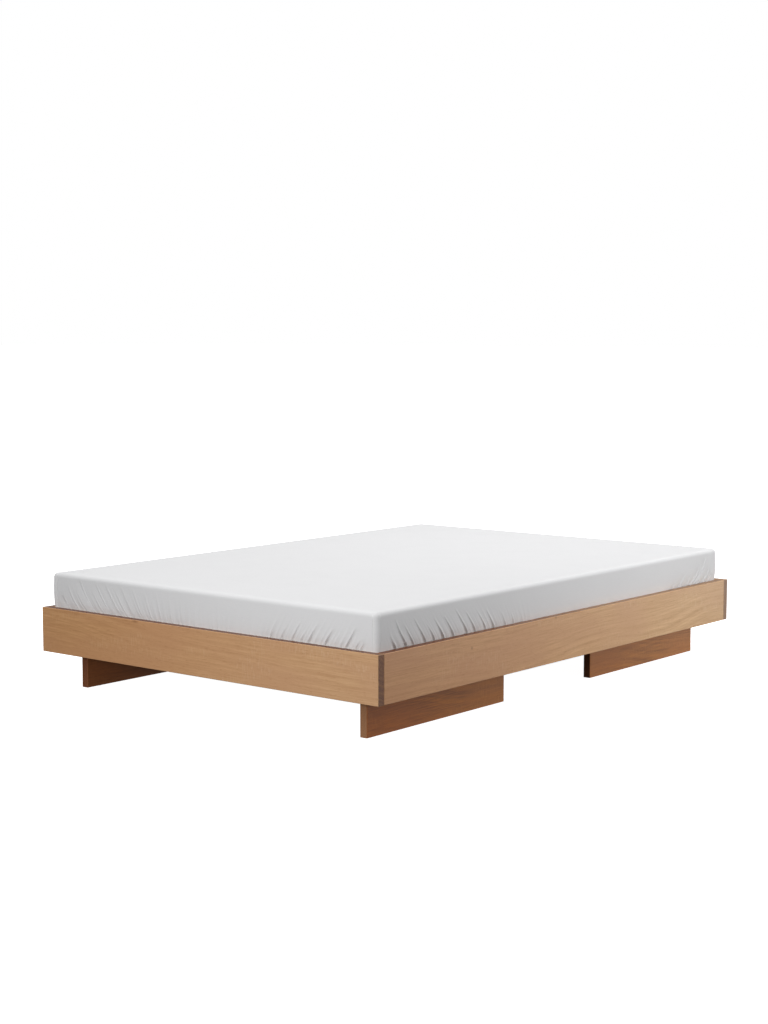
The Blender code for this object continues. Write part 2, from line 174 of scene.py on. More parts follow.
SETTINGS = {
    "bed_wood": BedWoodSettings,
    "bed_base": BedBaseSettings,
    "bed_fittings": BedFittingSettings,
    "bed_mattress": BedMattressSettings,
    "bed_sheet": BedSheetSettings,
    "bed_stage": BedStageSettings,
}


# ---------------------------------------------------------------- node helper

ADD, SUBTRACT, MULTIPLY, DIVIDE, MULTIPLY_ADD, POWER, SQRT, ABSOLUTE, SINE, FLOOR, FRACT, MINIMUM, MAXIMUM = (
    {"operation": word} for word in (
        "ADD", "SUBTRACT", "MULTIPLY", "DIVIDE", "MULTIPLY_ADD", "POWER", "SQRT", "ABSOLUTE", "SINE", "FLOOR",
        "FRACT", "MINIMUM", "MAXIMUM",
    )
)
SMOOTH = {"interpolation_type": "SMOOTHSTEP"}
BLEND = {"data_type": "RGBA"}
STAIN = {"data_type": "RGBA", "blend_type": "MULTIPLY"}


def node(tree, kind, settings=None, inputs=(), output=0):
    """Adds a node, sets its properties, and sets or links its inputs, given in order or by name or number.
    Gives its output of this name or number, or with None the node itself."""
    made = tree.nodes.new("ShaderNode" + kind)
    for key, value in (settings or {}).items():
        setattr(made, key, value)
    for key, value in inputs.items() if isinstance(inputs, dict) else enumerate(inputs):
        socket = made.inputs[key]
        if isinstance(value, bpy.types.NodeSocket):
            tree.links.new(value, socket)
        elif socket.type == "RGBA":
            socket.default_value = (*value[:3], 1.0)
        else:
            socket.default_value = value
    return made if output is None else made.outputs[output]


def new_material(name):
    """A material without nodes, and its tree."""
    made = bpy.data.materials.new(name)
    made.use_nodes = True
    made.node_tree.nodes.clear()
    return made, made.node_tree


def surface(tree, color, roughness, bump, height, fixed):
    """Ends a material with its colour, roughness and bump. fixed is set on the shader's own sockets."""
    normal = node(tree, "Bump", inputs={"Strength": 1.0, "Distance": height, "Height": bump})
    joined = {"Base Color": color, "Roughness": roughness, "Normal": normal, **fixed}
    shader = node(tree, "BsdfPrincipled", inputs=joined)
    node(tree, "OutputMaterial", inputs={"Surface": shader}, output=None)


# ---------------------------------------------------------------- materials


def edge_mask(tree, place, box, reach):
    """1 on the edges of a box-shaped piece, falling to 0 over reach, from the distance to its faces."""
    low, high = box
    away = node(tree, "VectorMath", SUBTRACT, (place, (low + high) / 2))
    away = node(tree, "VectorMath", ABSOLUTE, (away,))
    depth = node(tree, "VectorMath", SUBTRACT, ((high - low) / 2, away))
    x, y, z = node(tree, "SeparateXYZ", inputs=(depth,), output=None).outputs
    small = node(tree, "Math", MINIMUM, (x, y))
    large = node(tree, "Math", MAXIMUM, (x, y))
    second = node(tree, "Math", MAXIMUM, (small, node(tree, "Math", MINIMUM, (large, z))))
    return node(tree, "MapRange", SMOOTH, (second, 0.3 * MM, reach, 1.0, 0.0))


def grain_space(tree, axis, origin):
    """Object coordinates, and the same moved and turned so that X runs along the grain and origin is at 0."""
    place = node(tree, "TexCoord", output="Object")
    moved = node(tree, "VectorMath", SUBTRACT, (place, origin))
    turn = math.radians(-90) if axis == GRAIN_Y else 0.0
    return place, node(tree, "Mapping", inputs={"Vector": moved, "Rotation": (0.0, 0.0, turn)})


def grain_noise(tree, vector, along, across, detail, seed, roughness=0.55):
    """Noise drawn out along the grain, from about 0 to 1."""
    shift = (seed * 3.7, seed * 1.9, seed * 5.3)
    scale = (1 / along, 1 / across, 1 / across)
    scaled = node(tree, "Mapping", inputs={"Vector": vector, "Location": shift, "Scale": scale})
    settled = {"Vector": scaled, "Scale": 1.0, "Detail": detail, "Roughness": roughness}
    return node(tree, "TexNoise", inputs=settled)


def ring_distance(tree, grain, log, seed):
    """Distance from the log's middle. log is where that lies across and up from the board's own middle, how
    it leans across and up along the board, and how much it bends."""
    pith, tilt, warp = log
    bend = grain_noise(tree, grain, 0.62, 0.75, 0.0, seed + 0.31)
    ripple = grain_noise(tree, grain, 0.16, 0.05, 1.0, seed + 0.77)
    sway = node(tree, "Math", MULTIPLY_ADD, (bend, warp, -0.5 * warp - 4.5 * MM))
    sway = node(tree, "Math", MULTIPLY_ADD, (ripple, 9 * MM, sway))
    along, across, up = node(tree, "SeparateXYZ", inputs=(grain,), output=None).outputs
    squares = 0.0
    for offset, lean, middle in ((across, tilt[0], pith[0]), (up, tilt[1], pith[1])):
        leaning = node(tree, "Math", MULTIPLY_ADD, (along, lean, offset))
        away = node(tree, "Math", SUBTRACT, (leaning, middle))
        squares = node(tree, "Math", MULTIPLY_ADD, (away, away, squares))
    return node(tree, "Math", ADD, (node(tree, "Math", SQRT, (squares,)), sway))


def spot_distance(tree, place, spot, stretch):
    """Distance from a spot, counted more or less along each axis."""
    away = node(tree, "VectorMath", SUBTRACT, (place, spot))
    shaped = node(tree, "VectorMath", MULTIPLY, (away, stretch))
    return node(tree, "VectorMath", {"operation": "LENGTH"}, (shaped,), "Value")


class Cut:
    """How a board was cut from its log: its grain's axis, the log's middle (see ring_distance), a seed, its
    pin knots, and its contrast. oil multiplies every tone, as painted shade on the legs, and deep the dark
    one. A ramp multiplies the colour at the two ends of the grain, as painted light and shade. end_grain is
    the tone of its sawn ends."""

    def __init__(self, axis, log, seed, knots=(), contrast=1.0, oil=(1.0, 1.0, 1.0), deep=1.0,
                 drift=((1.0, 1.0, 1.0), (1.0, 1.0, 1.0)), end_grain=None):
        self.axis, self.log, self.seed, self.knots, self.contrast = axis, log, seed, knots, contrast
        self.oil, self.deep, self.drift, self.end_grain = oil, deep, drift, end_grain

    def tone(self, color, darker=1.0):
        return tuple(part * taken * darker for part, taken in zip(color, self.oil))


def oiled_beech(name, box, cut):
    """Solid beech, planed and oiled with a hard wax oil: low contrast bands, pale ray flecks, a dull sheen.

    The growth bands are shells about the log's middle, so that they run straight, slope or arch on a face
    and show as arcs on an end. Real rings are 2 to 3 mm apart, too fine to show, so bands stand for groups of
    them. Pin knots push them aside. The sawn ends took up more oil, and the edges are rubbed a little
    paler."""
    wood = bpy.context.scene.bed_wood
    axis, seed, contrast = cut.axis, cut.seed, cut.contrast
    pale, dark = cut.tone(wood.light), cut.tone(wood.dark, cut.deep)
    end_tone = cut.tone(cut.end_grain or wood.end_grain)
    made, tree = new_material(name)
    low, high = box
    place, grain = grain_space(tree, axis, (low + high) / 2)
    shells = ring_distance(tree, grain, cut.log, seed)
    for number, spot in enumerate(cut.knots):
        near = spot_distance(tree, place, spot, (0.45, 0.45, 1.0))
        aside = node(tree, "MapRange", SMOOTH, (near, 0.0, 38 * MM, (9 - 3 * number) * MM, 0.0))
        shells = node(tree, "Math", ADD, (shells, aside))
    turns = node(tree, "Math", DIVIDE, (shells, wood.band))
    settled = {"W": turns, "Scale": 1.0, "Detail": 3.0, "Roughness": 0.7}
    rings = node(tree, "TexNoise", {"noise_dimensions": "1D"}, settled)
    fibre = grain_noise(tree, grain, 0.11, wood.fibre, 2.0, seed + 1.7, 0.65)
    patch = grain_noise(tree, grain, 0.33, 0.12, 1.0, seed + 2.9)
    bands = node(tree, "MapRange", SMOOTH, (rings, 0.25, 0.75, 0.0, 0.34 * contrast))
    streak = node(tree, "Math", MULTIPLY_ADD, (fibre, 1.1 * contrast, 0.28 - 0.55 * contrast))
    tone = node(tree, "Math", {"operation": "ADD", "use_clamp": True}, (bands, streak))
    color = node(tree, "Mix", BLEND, {0: tone, 6: pale, 7: dark}, 2)
    warmer = node(tree, "MapRange", SMOOTH, (patch, 0.36, 0.68, 0.0, 0.7))
    color = node(tree, "Mix", BLEND, {0: warmer, 6: color, 7: cut.tone(wood.rose)}, 2)

    # The rays show as short strokes across the grain, 1 to 2 mm wide, drawn 5 mm wide so that they show.
    strokes = grain_noise(tree, grain, 5 * MM, 26 * MM, 1.0, seed + 4.1)
    where = grain_noise(tree, grain, 0.24, 0.07, 0.0, seed + 5.5)
    lit = node(tree, "Math", MULTIPLY, (
        node(tree, "MapRange", SMOOTH, (strokes, 0.5, 0.68)),
        node(tree, "MapRange", SMOOTH, (where, 0.48, 0.66, 0.0, 0.26)),
    ))
    color = node(tree, "Mix", BLEND, {0: lit, 6: color, 7: cut.tone(wood.ray)}, 2)
    pores = grain_noise(tree, grain, 16 * MM, 1.1 * MM, 0.0, seed + 6.3)
    pitted = node(tree, "MapRange", SMOOTH, (pores, 0.66, 0.8, 0.0, 0.28))
    color = node(tree, "Mix", STAIN, {0: pitted, 6: color, 7: dark}, 2)

    # Painted light and shade: the colour is multiplied by a ramp from one end of the grain to the other. On
    # the boards it is paler and whiter towards their more brightly lit ends, a painted sheen; on the legs it
    # lightens or darkens them where they are lit or shaded.
    along = node(tree, "SeparateXYZ", inputs=(grain,))
    half = (high - low)[axis] / 2
    along_grain_share = node(tree, "MapRange", SMOOTH, (along, -half, half))
    drift = node(tree, "Mix", BLEND, {0: along_grain_share, 6: cut.drift[0], 7: cut.drift[1]}, 2)
    color = node(tree, "Mix", STAIN, {0: 1.0, 6: color, 7: drift}, 2)

    drawn_out = (0.3, 1.0, 1.0) if axis == GRAIN_X else (1.0, 0.8, 0.8)
    for spot in cut.knots:
        core = spot_distance(tree, place, spot, drawn_out)
        core = node(tree, "MapRange", SMOOTH, (core, 0.5 * MM, 6.5 * MM, 0.5, 0.0))
        color = node(tree, "Mix", BLEND, {0: core, 6: color, 7: cut.tone(wood.knot)}, 2)

    # Painted shade: the narrow upper edges are darkened, most of all towards the foot end, in place of the
    # shade that falls on them between the boards and the sheet.
    normal = node(tree, "TexCoord", output="Normal")
    facing = node(tree, "SeparateXYZ", inputs=(normal,), output=None).outputs
    to_head = node(tree, "SeparateXYZ", inputs=(place,), output=1)
    foot_end_shade_ramp = node(tree, "MapRange", SMOOTH, (to_head, -0.8, 0.5, 1.0, 0.62))
    top_edge_shade = node(tree, "MapRange", SMOOTH, (facing[2], 0.75, 0.95))
    top_edge_shade = node(tree, "Math", MULTIPLY, (top_edge_shade, foot_end_shade_ramp))
    color = node(tree, "Mix", STAIN, {0: top_edge_shade, 6: color, 7: wood.top}, 2)
    on_end = node(tree, "MapRange", SMOOTH, (node(tree, "Math", ABSOLUTE, (facing[axis],)), 0.6, 0.9))
    arcs = node(tree, "MapRange", SMOOTH, (rings, 0.3, 0.7, 0.05, 0.3))
    sawn = node(tree, "Mix", BLEND, {0: arcs, 6: end_tone, 7: dark}, 2)
    mottle = grain_noise(tree, grain, 9 * MM, 2.6 * MM, 2.0, seed + 7.7)
    mottle = node(tree, "MapRange", SMOOTH, (mottle, 0.35, 0.65, 0.0, 0.35))
    sawn = node(tree, "Mix", STAIN, {0: mottle, 6: sawn, 7: end_tone}, 2)
    color = node(tree, "Mix", BLEND, {0: on_end, 6: color, 7: sawn}, 2)

    rubbed = grain_noise(tree, grain, 0.05, 0.02, 2.0, seed + 8.8)
    rubbed = node(tree, "MapRange", SMOOTH, (rubbed, 0.35, 0.65, 0.15, 0.55))
    worn = node(tree, "Math", MULTIPLY, (edge_mask(tree, place, box, wood.edge), rubbed))
    color = node(tree, "Mix", BLEND, {0: worn, 6: color, 7: pale}, 2)

    grit = grain_noise(tree, grain, 30 * MM, 0.9 * MM, 1.0, seed + 9.1)
    relief = node(tree, "Math", SUBTRACT, (node(tree, "Math", MULTIPLY, (grit, 0.5)), pitted))
    rough = node(tree, "MapRange", SMOOTH, (tone, 0.0, 1.0, wood.roughness - 0.04, wood.roughness + 0.08))
    rough = node(tree, "Math", MULTIPLY_ADD, (on_end, 0.2, rough))
    surface(tree, color, rough, relief, 0.12 * MM, {"IOR": 1.5})
    return made


def planed_pine(name, axis, pitch, seed):
    """Planed, untreated pine of the slats and bars: clear amber bands on straw, each bar from its own log."""
    base = bpy.context.scene.bed_base
    made, tree = new_material(name)
    _, grain = grain_space(tree, axis, Vector((0.0, 0.0, 0.0)))
    across = node(tree, "SeparateXYZ", inputs=(grain,), output=1)
    each = node(tree, "Math", FLOOR, (node(tree, "Math", DIVIDE, (across, pitch)),))
    each = node(tree, "Math", ADD, (each, seed))
    log = node(tree, "TexWhiteNoise", {"noise_dimensions": "1D"}, {"W": each}, None)
    offset = node(tree, "VectorMath", {"operation": "SCALE"}, {0: log.outputs["Color"], "Scale": 9.0})
    own = node(tree, "VectorMath", ADD, (grain, offset))
    wander = grain_noise(tree, own, 0.6, 0.08, 2.0, seed)
    shell = node(tree, "Math", MULTIPLY, (across, 0.35))
    shell = node(tree, "Math", MULTIPLY_ADD, (wander, 0.11, shell))
    # Pine's rings are 2 to 4 mm apart, and are drawn 5.5 mm apart so that they show.
    rings = node(tree, "Math", FRACT, (node(tree, "Math", DIVIDE, (shell, 5.5 * MM)),))
    late = node(tree, "Math", POWER, (rings, 2.2))
    fibre = grain_noise(tree, own, 70 * MM, 1.4 * MM, 2.0, seed + 1.0)
    fibre = node(tree, "Math", MULTIPLY, (fibre, 0.35))
    tone = node(tree, "Math", MULTIPLY_ADD, (late, 0.5, fibre))
    color = node(tree, "Mix", BLEND, {0: tone, 6: base.pale, 7: base.amber}, 2)
    aged = node(tree, "Math", MULTIPLY, (log.outputs["Value"], 0.22))
    color = node(tree, "Mix", BLEND, {0: aged, 6: color, 7: base.amber}, 2)
    facing = node(tree, "SeparateXYZ", inputs=(node(tree, "TexCoord", output="Normal"),), output=axis)
    on_end = node(tree, "MapRange", SMOOTH, (node(tree, "Math", ABSOLUTE, (facing,)), 0.6, 0.9, 0.0, 0.6))
    color = node(tree, "Mix", BLEND, {0: on_end, 6: color, 7: base.amber}, 2)
    rough = node(tree, "MapRange", SMOOTH, (tone, 0.0, 1.0, 0.62, 0.5))
    surface(tree, color, rough, tone, 0.08 * MM, {})
    return made


def zinc_plate(name, bright, warm):
    """Pressed steel, bright zinc plated: fine rolling scratches and a faint warm blush from passivation."""
    made, tree = new_material(name)
    place = node(tree, "TexCoord", output="Object")
    cloud = grain_noise(tree, place, 25 * MM, 25 * MM, 3.0, 1.2)
    cloud = node(tree, "MapRange", SMOOTH, (cloud, 0.35, 0.7, 0.0, 0.7))
    color = node(tree, "Mix", BLEND, {0: cloud, 6: bright, 7: warm}, 2)
    scratch = grain_noise(tree, place, 1.2 * MM, 14 * MM, 2.0, 2.4)
    rough = node(tree, "MapRange", SMOOTH, (scratch, 0.3, 0.7, 0.26, 0.42))
    surface(tree, color, rough, scratch, 0.02 * MM, {"Metallic": 1.0})
    return made


def moulded_nylon(name, color):
    """Injection-moulded nylon: matt, with a fine pebbled grain and paler scuffs."""
    made, tree = new_material(name)
    place = node(tree, "TexCoord", output="Object")
    pebble = grain_noise(tree, place, 0.9 * MM, 0.9 * MM, 1.0, 3.1)
    scuff = grain_noise(tree, place, 8 * MM, 2 * MM, 3.0, 4.4)
    scuffed = tuple(c * 2.2 + 0.03 for c in color)
    strength = node(tree, "MapRange", SMOOTH, (scuff, 0.55, 0.75, 0.0, 0.5))
    tone = node(tree, "Mix", BLEND, {0: strength, 6: color, 7: scuffed}, 2)
    rough = node(tree, "MapRange", SMOOTH, (scuff, 0.3, 0.7, 0.45, 0.6))
    surface(tree, tone, rough, pebble, 0.05 * MM, {})
    return made


def woven_threads(tree, vector, spacing, cover):
    """Height of a plain weave: (height, unevenness). Warp and weft pass over each other in turn."""
    turns = node(tree, "VectorMath", {"operation": "SCALE"}, {0: vector, "Scale": math.pi / spacing})
    u, v, _ = node(tree, "SeparateXYZ", inputs=(turns,), output=None).outputs
    over = node(tree, "Math", MULTIPLY, (node(tree, "Math", SINE, (u,)), node(tree, "Math", SINE, (v,))))
    slub = grain_noise(tree, vector, 14 * spacing, cover * spacing, 2.0, 2.2)
    uneven = node(tree, "Math", MULTIPLY, (slub, 0.6))
    return node(tree, "Math", MULTIPLY_ADD, (over, 0.5, uneven)), slub


def percale(name):
    """White cotton percale, washed and lightly pressed: matt, a plain weave, soft fuzz at grazing angles.
    Real threads are 0.25 mm apart, too fine to show, so they are drawn about 1 mm apart."""
    sheet = bpy.context.scene.bed_sheet
    made, tree = new_material(name)
    follow = node(tree, "UVMap", {"uv_map": "cloth"})
    height, slub = woven_threads(tree, follow, sheet.thread, 1.5)
    cloud = grain_noise(tree, follow, 0.12, 0.12, 2.0, 6.0)
    thick = node(tree, "MapRange", SMOOTH, (slub, 0.4, 0.75, 0.0, 0.1))
    color = node(tree, "Mix", BLEND, {0: thick, 6: sheet.cotton, 7: sheet.crease}, 2)
    cloud = node(tree, "MapRange", SMOOTH, (cloud, 0.4, 0.7, 0.0, 0.05))
    color = node(tree, "Mix", BLEND, {0: cloud, 6: color, 7: sheet.crease}, 2)
    rough = node(tree, "MapRange", SMOOTH, (slub, 0.3, 0.7, 0.82, 0.92))
    fixed = {"Sheen Weight": 0.12, "Sheen Roughness": 0.5, "Specular IOR Level": 0.25}
    surface(tree, color, rough, height, 0.05 * MM, fixed)
    return made


def knitted_ticking(name, striped):
    """Knitted polyester ticking: soft, off-white, with a raised rib and, on the border, fine stripes."""
    mattress = bpy.context.scene.bed_mattress
    made, tree = new_material(name)
    place = node(tree, "TexCoord", output="Object")
    height, slub = woven_threads(tree, place, 2.2 * MM, 1.2)
    thick = node(tree, "MapRange", SMOOTH, (slub, 0.35, 0.75, 0.0, 0.35))
    color = node(tree, "Mix", BLEND, {0: thick, 6: mattress.ticking, 7: mattress.stripe}, 2)
    if striped:
        up = node(tree, "SeparateXYZ", inputs=(place,), output=2)
        wave = node(tree, "Math", SINE, (node(tree, "Math", MULTIPLY, (up, 2 * math.pi / (12 * MM))),))
        stripe = node(tree, "MapRange", SMOOTH, (wave, 0.55, 0.9, 0.0, 0.55))
        color = node(tree, "Mix", BLEND, {0: stripe, 6: color, 7: mattress.stripe}, 2)
    surface(tree, color, 0.9, height, 0.15 * MM, {"Sheen Weight": 0.2, "Sheen Roughness": 0.5})
    return made


def ribbed_webbing(name, color):
    """Flat polyester webbing: ribs across its width, a firmer selvedge, slightly fuzzy."""
    made, tree = new_material(name)
    spacing = bpy.context.scene.bed_base.thread
    place = node(tree, "TexCoord", output="Object")
    turns = node(tree, "VectorMath", {"operation": "SCALE"}, {0: place, "Scale": 2 * math.pi / spacing})
    across, along, _ = node(tree, "SeparateXYZ", inputs=(turns,), output=None).outputs
    rib = node(tree, "Math", SINE, (along,))
    wale = node(tree, "Math", SINE, (node(tree, "Math", MULTIPLY, (across, 1 / 1.3)),))
    height = node(tree, "Math", MULTIPLY_ADD, (rib, 0.5, node(tree, "Math", MULTIPLY, (wale, 0.25))))
    fuzz = grain_noise(tree, place, 3 * MM, 3 * MM, 2.0, 8.0)
    darker = tuple(c * 0.72 for c in color)
    # Painted shade: the hollows between the ribs are darkened, by the ribs' height.
    rib_hollow_shade = node(tree, "MapRange", SMOOTH, (height, -0.6, 0.6, 0.5, 0.0))
    shade = node(tree, "Mix", BLEND, {0: rib_hollow_shade, 6: color, 7: darker}, 2)
    fuzz = node(tree, "MapRange", SMOOTH, (fuzz, 0.4, 0.7, 0.0, 0.25))
    shade = node(tree, "Mix", BLEND, {0: fuzz, 6: shade, 7: darker}, 2)
    surface(tree, shade, 0.85, height, 0.2 * MM, {"Sheen Weight": 0.15})
    return made


# ---------------------------------------------------------------- helpers for pieces


def wear(name, made):
    """Gives a CAD node its finished material."""
    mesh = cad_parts[name].data
    mesh.materials.clear()
    mesh.materials.append(made)


def deselect():
    for thing in bpy.context.selected_objects:
        thing.select_set(False)
    bpy.context.view_layer.objects.active = None


def select_where(mesh_object, test):
    """In edit mode, selects just the faces for which test(centre, normal) is true."""
    bpy.ops.object.mode_set(mode="OBJECT")
    mesh = mesh_object.data
    for part in (mesh.vertices, mesh.edges, mesh.polygons):
        part.foreach_set("select", [False] * len(part))
    for face in mesh.polygons:
        face.select = test(face.center, face.normal)
    bpy.ops.object.mode_set(mode="EDIT")
    bpy.ops.mesh.select_mode(type="FACE")


def mesh_piece(name, points, faces, made):
    """A new smooth-shaded object from points and faces, at the origin."""
    mesh = bpy.data.meshes.new(name)
    mesh.from_pydata([tuple(p) for p in points], [], faces)
    mesh.update()
    thing = bpy.data.objects.new(name, mesh)
    bpy.context.scene.collection.objects.link(thing)
    mesh.materials.append(made)
    mesh.shade_smooth()
    return thing


def copy_piece(source, name, matrix):
    """A copy with its own mesh, its place in the mesh."""
    mesh = source.data.copy()
    mesh.name = name
    mesh.transform(matrix)
    thing = bpy.data.objects.new(name, mesh)
    bpy.context.scene.collection.objects.link(thing)
    return thing


def ease(value, low, high):
    """0 below low, 1 above high, smooth between."""
    t = np.clip((value - low) / (high - low), 0.0, 1.0)
    return t * t * (3 - 2 * t)


def quarter(steps):
    """The angles of a quarter turn, from 0, in this many steps."""
    return [k / steps * math.pi / 2 for k in range(steps + 1)]


# ---------------------------------------------------------------- wooden frame


class BED_OT_oiled_frame(bpy.types.Operator):
    """Finish the boards and leg panels in oiled beech, each cut from its own place in the log"""

    bl_idname = "bed.oiled_frame"
    bl_label = "Oiled Boards and Legs"
    bl_options = {"REGISTER", "UNDO"}

    def execute(self, context):
        face_y, face_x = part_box("foot_end_board")[0].y, BOARD_HIGH.x
        foot_knots = [Vector((-0.277, face_y, 0.268))]
        side_knots = [Vector((face_x, -0.576, 0.231)), Vector((face_x, -0.117, 0.270))]
        # The long boards come from a paler, pinker log than the end boards.
        # Painted sheen: the ramps make the end boards paler and whiter towards +X and the long boards towards
        # the head, their more brightly lit ends.
        warm = {"oil": (0.98, 0.985, 1.03), "drift": ((1.0, 0.96, 0.89), (1.0, 1.07, 1.16)), "contrast": 1.4}
        pink = {"oil": (1.0, 1.02, 1.08), "drift": ((1.0, 0.94, 0.92), (1.03, 1.13, 1.15)), "contrast": 1.4}
        cuts = {
            "foot_end_board": Cut(GRAIN_X, ((0.10, 0.17), (0.02, 0.05), 0.12), 2.0, foot_knots, **warm),
            "head_end_board": Cut(
                GRAIN_X, ((-0.12, 0.15), (-0.03, -0.04), 0.1), 3.3, end_grain=srgb("A08570"), **warm
            ),
            "right_side_board": Cut(GRAIN_Y, ((-0.09, -0.16), (0.03, -0.05), 0.13), 4.6, side_knots, **pink),
            "left_side_board": Cut(GRAIN_Y, ((0.10, 0.15), (-0.02, 0.05), 0.1), 5.9, **pink),
        }
        wood = context.scene.bed_wood
        # Every leg is multiplied by the leg colour above, painted shade for their place back under the boards.
        for number, (end, side) in enumerate((e, s) for e in END_NAMES for s in SIDE_NAMES):
            log = ((0.12 * (-1) ** number, -0.14 + 0.03 * number), (0.02, 0.1), 0.08)
            cuts[f"leg_panel_{end}_{side}"] = Cut(
                GRAIN_Y, log, 7.7 + 0.9 * number, contrast=1.5, oil=tuple(wood.leg), deep=0.72,
                end_grain=tuple(wood.leg_end),
            )
        # Painted light and shade on the legs: the right legs are lightened, most towards their head ends, the
        # foot-right leg's sawn end is painted paler where it is lit, and the foot-left leg is darkened towards
        # the head, deeper into the shade under the bed.
        cuts["leg_panel_foot_right"].drift = ((1.22, 1.12, 0.92), (1.2, 1.32, 1.14))
        cuts["leg_panel_foot_right"].end_grain = srgb("D3C2AC")
        cuts["leg_panel_head_right"].drift = ((1.1, 1.18, 0.98), (1.35, 1.55, 1.4))
        cuts["leg_panel_foot_left"].drift = ((0.85, 0.82, 0.8), (0.6, 0.55, 0.5))
        for name, cut in cuts.items():
            wear(name, oiled_beech(f"oiled_{name}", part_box(name), cut))
        return {"FINISHED"}


# ---------------------------------------------------------------- slatted base

BAR_PITCH = 0.25  # the bars are further apart than this, so each gets its own log
STAPLE_SPREAD = 0.22  # from a slat's middle to each of its two staples, as a share of its width
STAPLE_LEGS = 0.7 * MM  # what shows of a staple's legs before they enter the tape
TAPE_SINK = 20 * MM  # from a slat's edge to where the tape hangs lowest


class BED_OT_slatted_base(bpy.types.Operator):
    """Finish the slats, ledger strips, bearers and centre beam in planed pine"""

    bl_idname = "bed.slatted_base"
    bl_label = "Slatted Base"
    bl_options = {"REGISTER", "UNDO"}

    def execute(self, context):
        first, second = (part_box(name)[0].y for name in SLAT_NAMES[:2])
        pitch = second - first
        slat_wood = planed_pine("planed_slat_pine", GRAIN_X, pitch, 3.5)
        bar_wood = planed_pine("planed_bar_pine_across", GRAIN_X, BAR_PITCH, 11.5)
        long_wood = planed_pine("planed_bar_pine_along", GRAIN_Y, BAR_PITCH, 17.5)
        for name in SLAT_NAMES:
            wear(name, slat_wood)
        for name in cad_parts:
            if name.startswith("cross_bearer"):
                wear(name, bar_wood)
            elif name.startswith("ledger_strip") or name == "centre_beam":
                wear(name, long_wood)
        return {"FINISHED"}


class BED_OT_slat_tapes(bpy.types.Operator):
    """Weave the two tapes that space the slats, dipping a little between them, and staple them down"""

    bl_idname = "bed.slat_tapes"
    bl_label = "Slat Tapes and Staples"
    bl_options = {"REGISTER", "UNDO"}

    def execute(self, context):
        base = context.scene.bed_base
        webbing = ribbed_webbing("ribbed_polyester_webbing", base.tape)
        steel = zinc_plate("drawn_staple_wire", srgb("A9ABAE"), srgb("9B958A"))
        slats = [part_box(name) for name in SLAT_NAMES]
        staple = self.staple(base, steel)
        for side in SIDE_NAMES:
            low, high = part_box(f"slat_tape_{side}")
            tape = self.tape(f"woven_slat_tape_{side}", low, high, slats, base, webbing)
            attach(tape, "bed_frame")
            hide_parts(f"slat_tape_{side}")
            for number, (slat_low, slat_high) in enumerate(slats):
                for row, shift in (("a", -STAPLE_SPREAD), ("b", STAPLE_SPREAD)):
                    middle = (slat_low.y + slat_high.y) / 2 + shift * (slat_high.y - slat_low.y)
                    spot = Vector(((low.x + high.x) / 2, middle, high.z - 0.1 * MM))
                    piece = copy_piece(
                        staple, f"tape_staple_{side}_{number + 1:02d}{row}", Matrix.Translation(spot)
                    )
                    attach(piece, "bed_frame")
        bpy.data.objects.remove(staple)
        return {"FINISHED"}

    def tape(self, name, low, high, slats, base, webbing):
        """A tape over the slats, dipping between them, its edges curled by a hair."""
        deselect()
        size = (high.x - low.x, high.y - low.y)
        bpy.ops.mesh.primitive_grid_add(
            x_subdivisions=6, y_subdivisions=240, size=1.0, location=(0.0, 0.0, 0.0)
        )
        tape = bpy.context.active_object
        tape.name = name
        tape.data.name = name
        for vertex in tape.data.vertices:
            x = (low.x + high.x) / 2 + vertex.co.x * size[0]
            y = (low.y + high.y) / 2 + vertex.co.y * size[1]
            gap = min(max(s[0].y - y, y - s[1].y, 0.0) for s in slats)
            dip = base.tape_sag * math.sin(min(gap / TAPE_SINK, 1.0) * math.pi / 2) ** 2
            curl = 0.15 * MM * math.cos(vertex.co.x * 2 * math.pi)
            vertex.co = (x, y, low.z + 0.1 * MM - dip + curl)
        thick = tape.modifiers.new("thickness", "SOLIDIFY")
        thick.thickness = (high.z - low.z) * 0.85
        thick.offset = 1.0
        bpy.ops.object.modifier_apply(modifier=thick.name)
        tape.data.materials.append(webbing)
        tape.data.shade_smooth()
        return tape

    def staple(self, base, steel):
        """A staple across the tape, its crown on top and the start of its legs going down."""
        deselect()
        wire = base.staple_wire
        bpy.ops.mesh.primitive_cube_add(size=1.0, location=(0.0, 0.0, 0.0))
        staple = bpy.context.active_object
        staple.name = "staple_pattern"
        staple.scale = (base.staple - 2 * wire, wire, 0.6 * wire)
        bpy.ops.object.transform_apply(location=False, rotation=False, scale=True)
        bpy.ops.object.mode_set(mode="EDIT")
        for way in (1, -1):
            select_where(staple, lambda centre, normal: normal.x * way > 0.9)
            bpy.ops.mesh.extrude_region_move(TRANSFORM_OT_translate={"value": (way * wire, 0.0, 0.0)})
        reach = base.staple / 2 - wire
        select_where(staple, lambda centre, normal: normal.z < -0.9 and abs(centre.x) > reach)
        bpy.ops.mesh.extrude_region_move(TRANSFORM_OT_translate={"value": (0.0, 0.0, -STAPLE_LEGS)})
        bpy.ops.object.mode_set(mode="OBJECT")
        round_off = staple.modifiers.new("round", "BEVEL")
        round_off.width = 0.2 * wire
        round_off.segments = 1
        bpy.ops.object.modifier_apply(modifier=round_off.name)
        staple.data.materials.append(steel)
        return staple


# ---------------------------------------------------------------- fittings

LEDGER_SCREWS = 7
SLAT_SCREW_INSET = 12 * MM  # from an end slat's end to its screw
BEARER_SCREW_INSET = 13 * MM
SCREW_SIDES = 20


